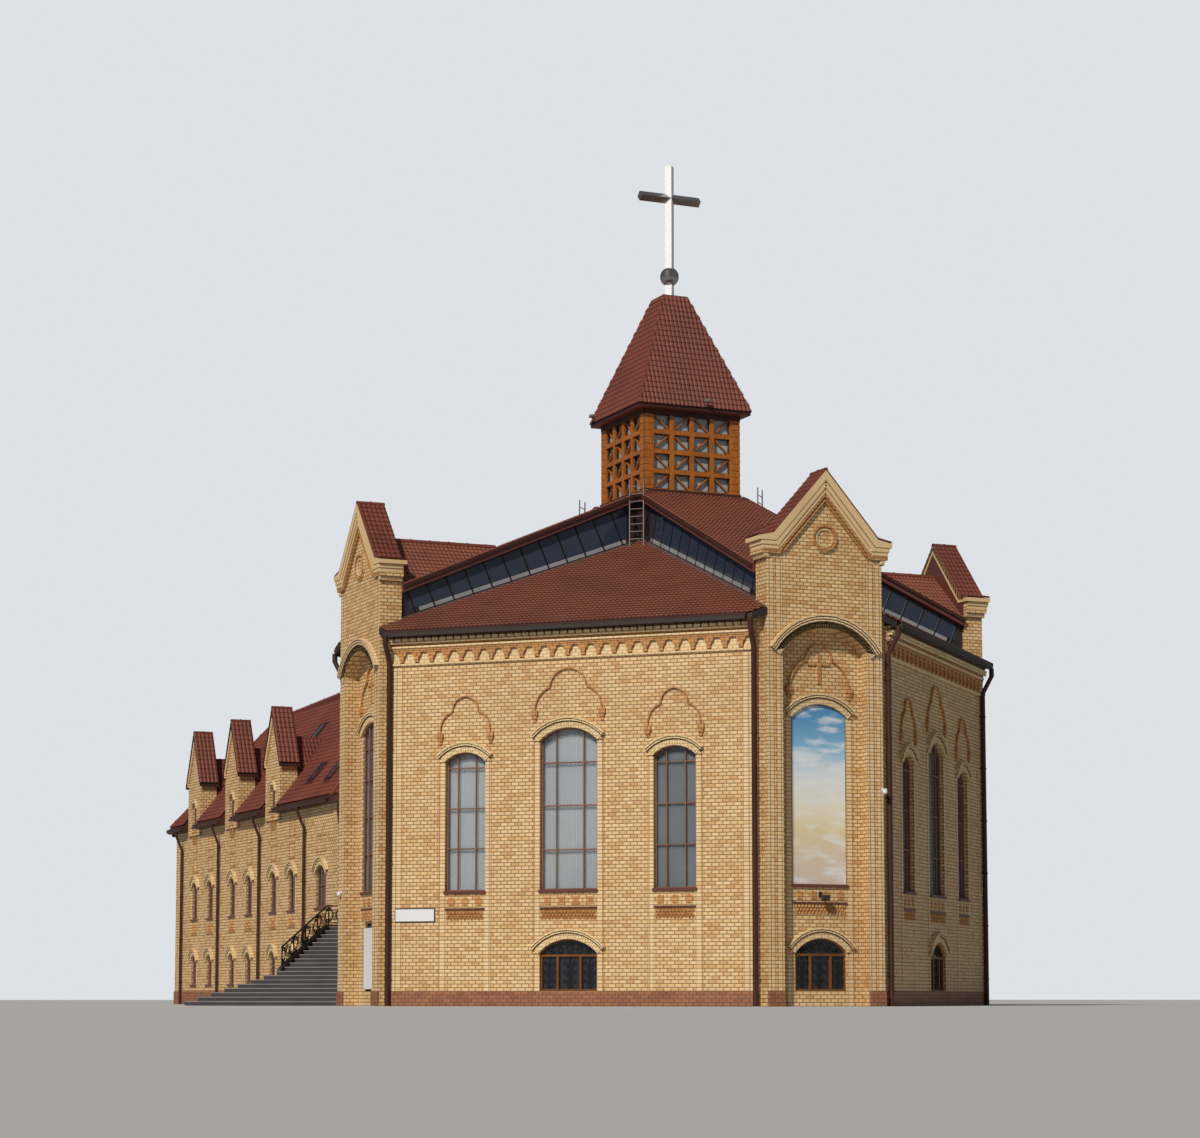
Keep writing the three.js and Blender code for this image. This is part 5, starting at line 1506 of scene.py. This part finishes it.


# The bright shaft and the darker arms are lit and shaded copies of one metal
shaft, base, arms, ball = crossPieces()
shaft = finishPiece("cross_shaft", [shaft, base], steel)
finishPiece("cross_arms", [arms], chrome)
finishPiece("cross_ball", [ball], chrome)
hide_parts("cross")
towerLamps = ((0.5, 0), (0.5, 90), (0.5, 180), (-2.1, -90))  # place along the eaves, side of the tower
lamps = []
for x, turn in towerLamps:
    lamp = join([beam((x, -2.80, 25.97), (x, -2.93, 26.14), 0.05, 0.05),
                 block((x - 0.15, x + 0.15), (-3.05, -2.86), (26.12, 26.26), 0.03)])
    lamp.rotation_euler = (0, 0, radians(turn))
    lamps.append(settle(lamp))
finishPiece("tower_lamps", lamps, ladderSteel)

# Ladders on the three corners of the tower that have none in the frame
ladder = {"half": 0.30, "rail": 0.05, "distance": 4.28, "top": 22.4, "rungs": 8}


def cornerLadder():
    half, outer = ladder["half"], ladder["half"] + ladder["rail"]
    y = (-ladder["distance"] - ladder["rail"] / 2, -ladder["distance"] + ladder["rail"] / 2)
    foot = lowerHeight(ladder["distance"]) + 0.02
    pitch = (ladder["top"] - foot) / (ladder["rungs"] + 1)
    rails = [block(x, y, (foot, ladder["top"]), 0.008) for x in ((-outer, -half), (half, outer))]
    rung = block((-half, half), (y[0] + 0.01, y[1] - 0.01), (foot + pitch - 0.015, foot + pitch + 0.015), 0)
    return join(rails + [repeat(rung, (0, 0, pitch), ladder["rungs"])])


allRound("corner_ladders", cornerLadder(), ladderSteel, turns=(45, 135, -135))
print("tower is dressed")

# Wing: window units made on the side wall's face, then placed on all its walls
wing = {"face": -11.30, "north": -42.20, "porch": 1.273, "gable": -11.40, "eaves": 9.25, "foot": siteLevel,
        "plinthTop": 0.12}
wingGutter = {"y": (-11.86, -11.69), "z": (9.03, 9.21), "rounding": 0.05, "pipe": 0.075, "pipeTop": 9.15,
              "outlet": -11.77, "northY": (-42.57, -42.43), "northZ": (8.86, 9.0), "northRounding": 0.04}
wingHood = {"bricks": 0.17, "brickOut": 0.09, "brickLength": 0.08, "reach": 1.05,
            "fillets": [(0.20, 0.06, 0.12), (0.31, 0.06, 0.16)],
            "lines": [(0.16, 0.045, 0.10), (0.255, 0.06, 0.12)]}
atticHood = {"bricks": 0.12, "brickOut": 0.07, "brickLength": 0.08, "reach": 1.05,
             "fillets": [(0.14, 0.05, 0.10)], "lines": [(0.11, 0.04, 0.08)]}


def outline(half, z, face, width=0.06, out=0.025):
    # Four thin bars round an upright panel
    low, high = z
    y = (face - out, face + 0.02)
    bars = [block((-half, half), y, (level, level + width), 0.006) for level in (low, high - width)]
    return bars + [block((edge, edge + width), y, (low, high), 0.006) for edge in (-half, half - width)]


def wingUnit(opening, columns, transoms, panels):
    face, half, sill = wing["face"], opening["half"], opening["sill"]
    rings, lines = hood(opening, face, wingHood)
    pale, joints = strips([(-half, -1), (half, 1)], (sill - 0.10, opening["spring"] + 0.02), face, 0.17)
    warm = []
    for low, high in panels:
        warm += outline(half * 0.85, (low, high), face)
    if panels:
        warm.append(block((-half - 0.05, half + 0.05), (face - 0.05, face + 0.02),
                          (sill - 0.85, sill - 0.76), 0.01))
        warm += dogtooth(half * 0.8, (sill - 0.72, sill - 0.30), face, 3)
    sills = [block((-half - 0.07, half + 0.07), (face - 0.09, face + 0.19),
                   (sill - 0.09, sill + 0.015), 0.015)]
    return joinUnit({"fillets": rings, "orange_bricks": warm, "sills": sills, "pale_strips": pale,
                     "joint_lines": joints, "shadow_lines": lines,
                     "frames": windowBars(opening, (face + 0.09, face + 0.18), columns, transoms)})


def gableUnit():
    # Wall gable: mouldings under its roof, blocks under the eaves, its small window, and the dark back
    face = wing["gable"]
    rings, lines = hood(atticWindow, face, atticHood)
    sills = [block((-0.46, 0.46), (face - 0.07, face + 0.15), (9.12, 9.21), 0.012)]
    pale, warm = [], []
    for side in (-1, 1):
        pale.append(beam((side * 1.24, face - 0.03, 11.62), (0, face - 0.03, 14.00), 0.14, 0.10))
        warm.append(beam((side * 1.18, face - 0.01, 11.50), (0, face - 0.01, 13.76), 0.06, 0.06))
        for outer, z in ((1.38, (11.58, 11.70)), (1.33, (11.46, 11.56))):
            pale.append(block(sorted((side * 1.12, side * outer)), (face - 0.06, -10.52), z, 0.012))
    panel = outline(0.30, (8.30, 8.92), face)
    back = plate([(-1.25, 11.0), (1.25, 11.0), (1.25, 11.72), (0, 14.12), (-1.25, 11.72)], (-10.50, -10.46))
    y = (face + 0.12, face + 0.19)
    panes = [archPane(atticWindow, 0.004, (face + 0.20, face + 0.23))]
    return joinUnit({
        "fillets": rings + pale, "orange_bricks": warm + panel, "sills": sills, "shadow_lines": lines,
        "frames": windowBars(atticWindow, y, (0,), (9.75,), 0.04, 0.05), "panes": panes, "gable_back": [back],
    })


def wingPlinth(x, face):
    return [block(x, (face - 0.05, face + 0.05), (wing["foot"], wing["plinthTop"]), 0.02)]


partFinish["gable_back"] = (darkFrame, "frame")
upperUnit = wingUnit(wingWindow, (0,), (5.15,), [(6.65, 7.45), (7.75, 8.55)])
lowUnit = wingUnit(wingLowWindow, (0,), (1.35,), [])
wideUnit = wingUnit(wideWindow, (-0.28, 0.28), (5.15,), [(6.75, 7.60)])
atticUnit = gableUnit()
print("wing windows are modelled")

bayPitch, wideSpot = 3.1, 15.6
pairs = [spot - shift for spot in gablePlaces for shift in (0, bayPitch)]
pipePlaces = (18.0, 25.6, 33.2, 40.6)
northPlaces = (-8.1, -5.0, -1.55, 1.55, 5.0, 8.1)
for name, sign in (("west", -1), ("east", 1)):
    windows = [(unit, sign * spot) for spot in pairs for unit in (upperUnit, lowUnit)]
    windows += [(wideUnit, sign * wideSpot)] + [(atticUnit, sign * spot) for spot in gablePlaces]
    ends = [13.4] + [spot + step for spot in gablePlaces for step in (-1.29, 1.29)] + [42.4]
    gutters = []
    for first, last in zip(ends[::2], ends[1::2]):
        gutters += trough(sorted((sign * first, sign * last)), wingGutter["y"], wingGutter["z"],
                          wingGutter["rounding"])
    gutters += [downpipe(sign * spot, wing["foot"], wingGutter["pipeTop"], wingGutter["outlet"],
                         wing["face"] - 0.13, wingGutter["pipe"]) for spot in pipePlaces]
    plinth = wingPlinth(sorted((sign * 13.15, sign * 42.19)), wing["face"])
    dressWall(f"wing_{name}", sideTurns[name], windows, {"gutter": gutters, "plinth": plinth})
northWindows = [(unit, spot) for spot in northPlaces for unit in (upperUnit, lowUnit)]
northGutter = trough((-11.5, 11.5), wingGutter["northY"], wingGutter["northZ"], wingGutter["northRounding"])
northPlinth = wingPlinth((-11.35, 11.35), wing["north"])
dressWall("wing_north", sideTurns["north"], northWindows, {"gutter": northGutter, "plinth": northPlinth},
          wing["north"] - wing["face"])
dressWall("porch_east", 45, [(wideUnit, 14.697)], {}, wing["porch"] - wing["face"])
for unit in (upperUnit, lowUnit, wideUnit, atticUnit):
    discard(unit.values())
print("wing is dressed")

# Skylights in the steep west slope, each by its place along the wall and its run up from the eaves
skylights = {"places": ((25.45, 3.05), (18.83, 0.90), (15.75, 0.80), (32.6, 3.05)),
             "half": 0.39, "long": 1.15, "rim": 0.07}


def skylight(along, run):
    half, long, wide, base = skylights["half"], skylights["long"], skylights["rim"], siteLevel
    rim = [block((edge, edge + wide), (0, long), (base, base + 0.17)) for edge in (-half, half - wide)]
    rim += [block((-half, half), (edge, edge + wide), (base, base + 0.17)) for edge in (0, long - wide)]
    rim.append(block((-half - 0.12, half + 0.12), (-0.20, long + 0.10), (base, base + 0.105), 0.01))
    pane = block((-half + 0.02, half - 0.02), (0.02, long - 0.02), (base + 0.11, base + 0.14), 0.004)
    start, end = (-11.70 + run, along, wing["eaves"] + run * mansard["slope"]), (-11.70 + run, along - 1, 0)
    axes = Matrix(slopeAxes((start[0], start[1], 0), end, mansard["slope"])).transposed().to_4x4()
    for piece in rim + [pane]:
        piece.matrix_world = Matrix.Translation(at(*start)) @ axes
        settle(piece)
    return rim, pane


rims, skyPanes = [], []
for along, run in skylights["places"]:
    rim, pane = skylight(along, run)
    rims += rim
    skyPanes.append(pane)
finishPiece("skylight_rims", rims, brownMetal)
finishPiece("skylight_panes", skyPanes, roofGlass)
print("skylights are made")

# Entrance: hood, panelled leaves, fanlight and pulls, in the frame of the porch wall
door = {"half": 1.20, "sill": 3.06, "spring": 5.36, "rise": 0.50, "middle": -14.697, "leaf": 1.493,
        "panels": ((3.20, 3.75), (3.90, 4.45), (4.60, 5.08)), "panelStarts": (0.12, 0.60), "panelWide": 0.42,
        "pull": 0.085, "pullHeights": (3.95, 4.40), "pullFeet": (4.0, 4.35)}


def entrance():
    face, leaf = wing["porch"], door["leaf"]
    rings, lines = hood(door, face, hoodSizes)
    pale, joints = strips([(-1.2, -1), (1.2, 1)], (door["sill"], door["spring"] + 0.02), face, 0.24)
    woods = windowBars(door, (leaf - 0.09, leaf + 0.01), (0,), (5.20,), 0.10, 0.10)
    for side in (-1, 1):
        for z in door["panels"]:
            for x in door["panelStarts"]:
                span = sorted((side * x, side * (x + door["panelWide"])))
                woods.append(block(span, (leaf - 0.04, leaf + 0.01), z, 0.03))
    pulls = []
    for side in (-1, 1):
        x = side * door["pull"]
        pulls.append(block((x - 0.015, x + 0.015), (leaf - 0.16, leaf - 0.13), door["pullHeights"], 0.008))
        for z in door["pullFeet"]:
            pulls.append(block((x - 0.012, x + 0.012), (leaf - 0.15, leaf - 0.08), (z - 0.012, z + 0.012), 0))
    parts = {"fillets": rings, "shadow_lines": lines, "pale_strips": pale, "joint_lines": joints,
             "low_posts": woods, "pulls": pulls}
    return joinUnit(parts)


partFinish["pulls"] = (steel, "steel")
doorParts = entrance()
placeUnit(doorParts, "entrance", -45, (door["middle"], 0, 0))
discard(doorParts.values())
porchPipe = downpipe(-17.05, 3.07, 8.9, wing["porch"] - 0.40, wing["porch"] - 0.14, 0.075)
finishPiece("porch_downpipe", [porchPipe], brownMetal, -45)
finishPiece("porch_east_plinth", wingPlinth((12.22, 17.2), wing["porch"]), plinthBrick, 45)
print("entrance is dressed")

# Stair: worn granite treads with a nosing, and a sloping stone cheek under the balustrade
stair = {"going": 0.43, "rise": 0.19263, "left": -17.197, "right": -12.21, "foot": -7.816, "low": 7,
         "high": 12, "nose": 0.03, "slab": 0.05, "turnBack": -4.81, "upperFoot": -4.806, "landing": 3.06}


def treads():
    slabs = []
    for i in range(stair["low"] + stair["high"]):
        top = wing["foot"] + (i + 1) * stair["rise"]
        front = stair["foot"] + i * stair["going"]
        spread = max(stair["low"] - i, 0) * stair["going"]
        left = stair["left"] - spread - (stair["nose"] if i else -0.05)
        back = stair["turnBack"] if i < stair["low"] else (wing["porch"] - 0.005)
        slabs.append(block((left, stair["right"]), (front - stair["nose"], back),
                           (top - stair["slab"], top + 0.005), 0.012))
    return slabs


finishPiece("stair_treads", treads(), stoneEdge, -45)


# The balustrade's own frame: x runs up the flight, y is the distance out from the hall's wall
def flightLine(x):
    foot = wing["foot"] + stair["low"] * stair["rise"]
    return min(foot + ((x - stair["upperFoot"]) / stair["going"] + 1) * stair["rise"], stair["landing"])


cheek = plate([(-4.80, 0.72), (-4.80, flightLine(-4.80) + 0.10), (-0.08, 3.17), (1.26, 3.17), (1.26, 2.85),
               (0.10, 2.85)], (17.015, 17.205), 0.02)
finishPiece("stair_cheek", [cheek], stoneGrey, 45)

scroll = {"y": (17.052, 17.088), "bar": 0.026, "start": -4.591, "end": 1.213, "bays": 5, "middle": 0.56}


def scrollwork():
    y, bar = scroll["y"], scroll["bar"]
    pieces = []
    pitch = (scroll["end"] - scroll["start"]) / scroll["bays"]
    for i in range(scroll["bays"]):
        x = scroll["start"] + (i + 0.5) * pitch
        z = flightLine(x) + scroll["middle"]
        for radius in (0.23, 0.12):
            pieces.append(spun((x, z), radius, bar, y, 0, fullTurn, 16))
        for side in (-1, 1):
            near, far = x + side * 0.24, x + side * 0.53
            for end in (0.24, 0.90):
                tip = (far, flightLine(far) + end)
                hub = (near, z + (end - 0.57) * 0.15)
                ends = (tip, hub) if side * (end - 0.57) < 0 else (hub, tip)
                pieces.append(arcBetween(*ends, 0.09, bar, y, 8))
            spot = x + side * 0.40
            for level in (0.32, 0.80):
                pieces.append(spun((spot, flightLine(spot) + level), 0.055, bar, y, 0, fullTurn, 10))
    return pieces


finishPiece("stair_scrolls", scrollwork(), iron, 45)
rail = {"lift": 0.985, "y": 17.072, "foot": -4.60, "flightEnd": -0.076, "landingStart": -0.09,
        "landingEnd": 1.21, "high": 0.06, "wide": 0.10}


def handrail():
    level = stair["landing"] + rail["lift"]
    foot = (rail["foot"], rail["y"], flightLine(rail["foot"]) + rail["lift"])
    ends = [(rail[key], rail["y"], level) for key in ("flightEnd", "landingStart", "landingEnd")]
    return [beam(*run, rail["high"], rail["wide"], 0.015) for run in ((foot, ends[0]), (ends[1], ends[2]))]


finishPiece("stair_handrail", handrail(), iron, 45)
print("stair is dressed")

# Cloth: a plain printed banner in the south bay's tall window, and curtains behind two windows
def hungCloth(name, opening, inset, y, waves, depth, rows, material, turn, x=0.0):
    # A grid drawn up to the arch, in waves across, thickened at the end
    half, foot = opening["half"] - inset, opening["sill"] + inset
    columns = max(int(waves * 10), 12)
    deselectAll()
    bpy.ops.mesh.primitive_grid_add(x_subdivisions=columns, y_subdivisions=rows, size=1, location=(0, 0, 0))
    piece = settle(bpy.context.object)
    for vertex in piece.data.vertices:
        across, up = vertex.co.x * 2, vertex.co.y + 0.5
        head = archHeight(opening, across * half) - inset
        fold = depth * sin(across * pi * waves) * (0.6 + 0.4 * up)
        vertex.co = at(x + across * half, y + fold, foot + up * (head - foot))
    edit(piece)
    bpy.ops.mesh.normals_make_consistent(inside=False)
    objectMode()
    applyModifier(piece, "SOLIDIFY", thickness=0.004, offset=0)
    pick([piece])
    bpy.ops.object.shade_smooth_by_angle(angle=radians(60))
    return finishPiece(name, [piece], material, turn)


bannerCloth = bannerMaterial()
banner = hungCloth("bay_south_banner", bayWindow, 0.03, recessFace + 0.025, 1.5, 0.006, 40, bannerCloth, 0)
for name, opening, x, waves, flat, area in (("side", sideWindow, -sidePlace, 11, (1.02, 2.86), 2.82),
                                            ("middle", middleWindow, 0, 15, (1.44, 3.29), 4.49)):
    curtain = hungCloth(f"southwest_{name}_curtain", opening, 0.02, hallFace + 0.38, waves, 0.020, 10,
                        curtainCloth, -45, x)
blind = archPane(sideWindow, 0.02, (hallFace + 0.36, hallFace + 0.38))
blind.location.x = sidePlace * modelScale
settle(blind)
finishPiece("southwest_inner_blind", [blind], greyBlind, -45)
print("cloth is hung")

# Under the banner a lamp on a bracket, and small domes on the piers
lampParts = [beam((0.02, -14.10, 3.86), (0.02, -14.46, 3.72), 0.05, 0.05),
             block((-0.06, 0.10), (-14.13, -14.08), (3.74, 3.96), 0.01),
             block((-0.14, 0.20), (-14.60, -14.42), (3.60, 3.82), 0.02)]
finishPiece("bay_south_lamp", lampParts, darkFrame)


def domeUnit(x, y, z):
    deselectAll()
    bpy.ops.mesh.primitive_uv_sphere_add(segments=16, ring_count=8, radius=0.10 * modelScale,
                                         location=at(x, y, z))
    ball = settle(bpy.context.object)
    bpy.ops.object.shade_smooth()
    return [ball, block((x - 0.10, x + 0.10), (y - 0.02, y + 0.16), (z + 0.02, z + 0.14), 0.02)]


finishPiece("bay_south_dome", domeUnit(2.62, bayFace - 0.12, 8.0), whitePaint)
finishPiece("bay_west_dome", domeUnit(-2.2, bayFace - 0.12, 4.2), whitePaint, -90)
print("lamp and domes are placed")

# Pale floor
floorSize, floorDrop = 600, 0.002
bpy.ops.mesh.primitive_plane_add(size=floorSize, location=(0, 0, -floorDrop))
floor = bpy.context.object
floor.name = "floor"
floorPaint, _, floorShader = newMaterial("pale floor", 0.9)
floorShader.inputs["Base Color"].default_value = (0.52, 0.52, 0.51, 1)
floor.data.materials.append(floorPaint)
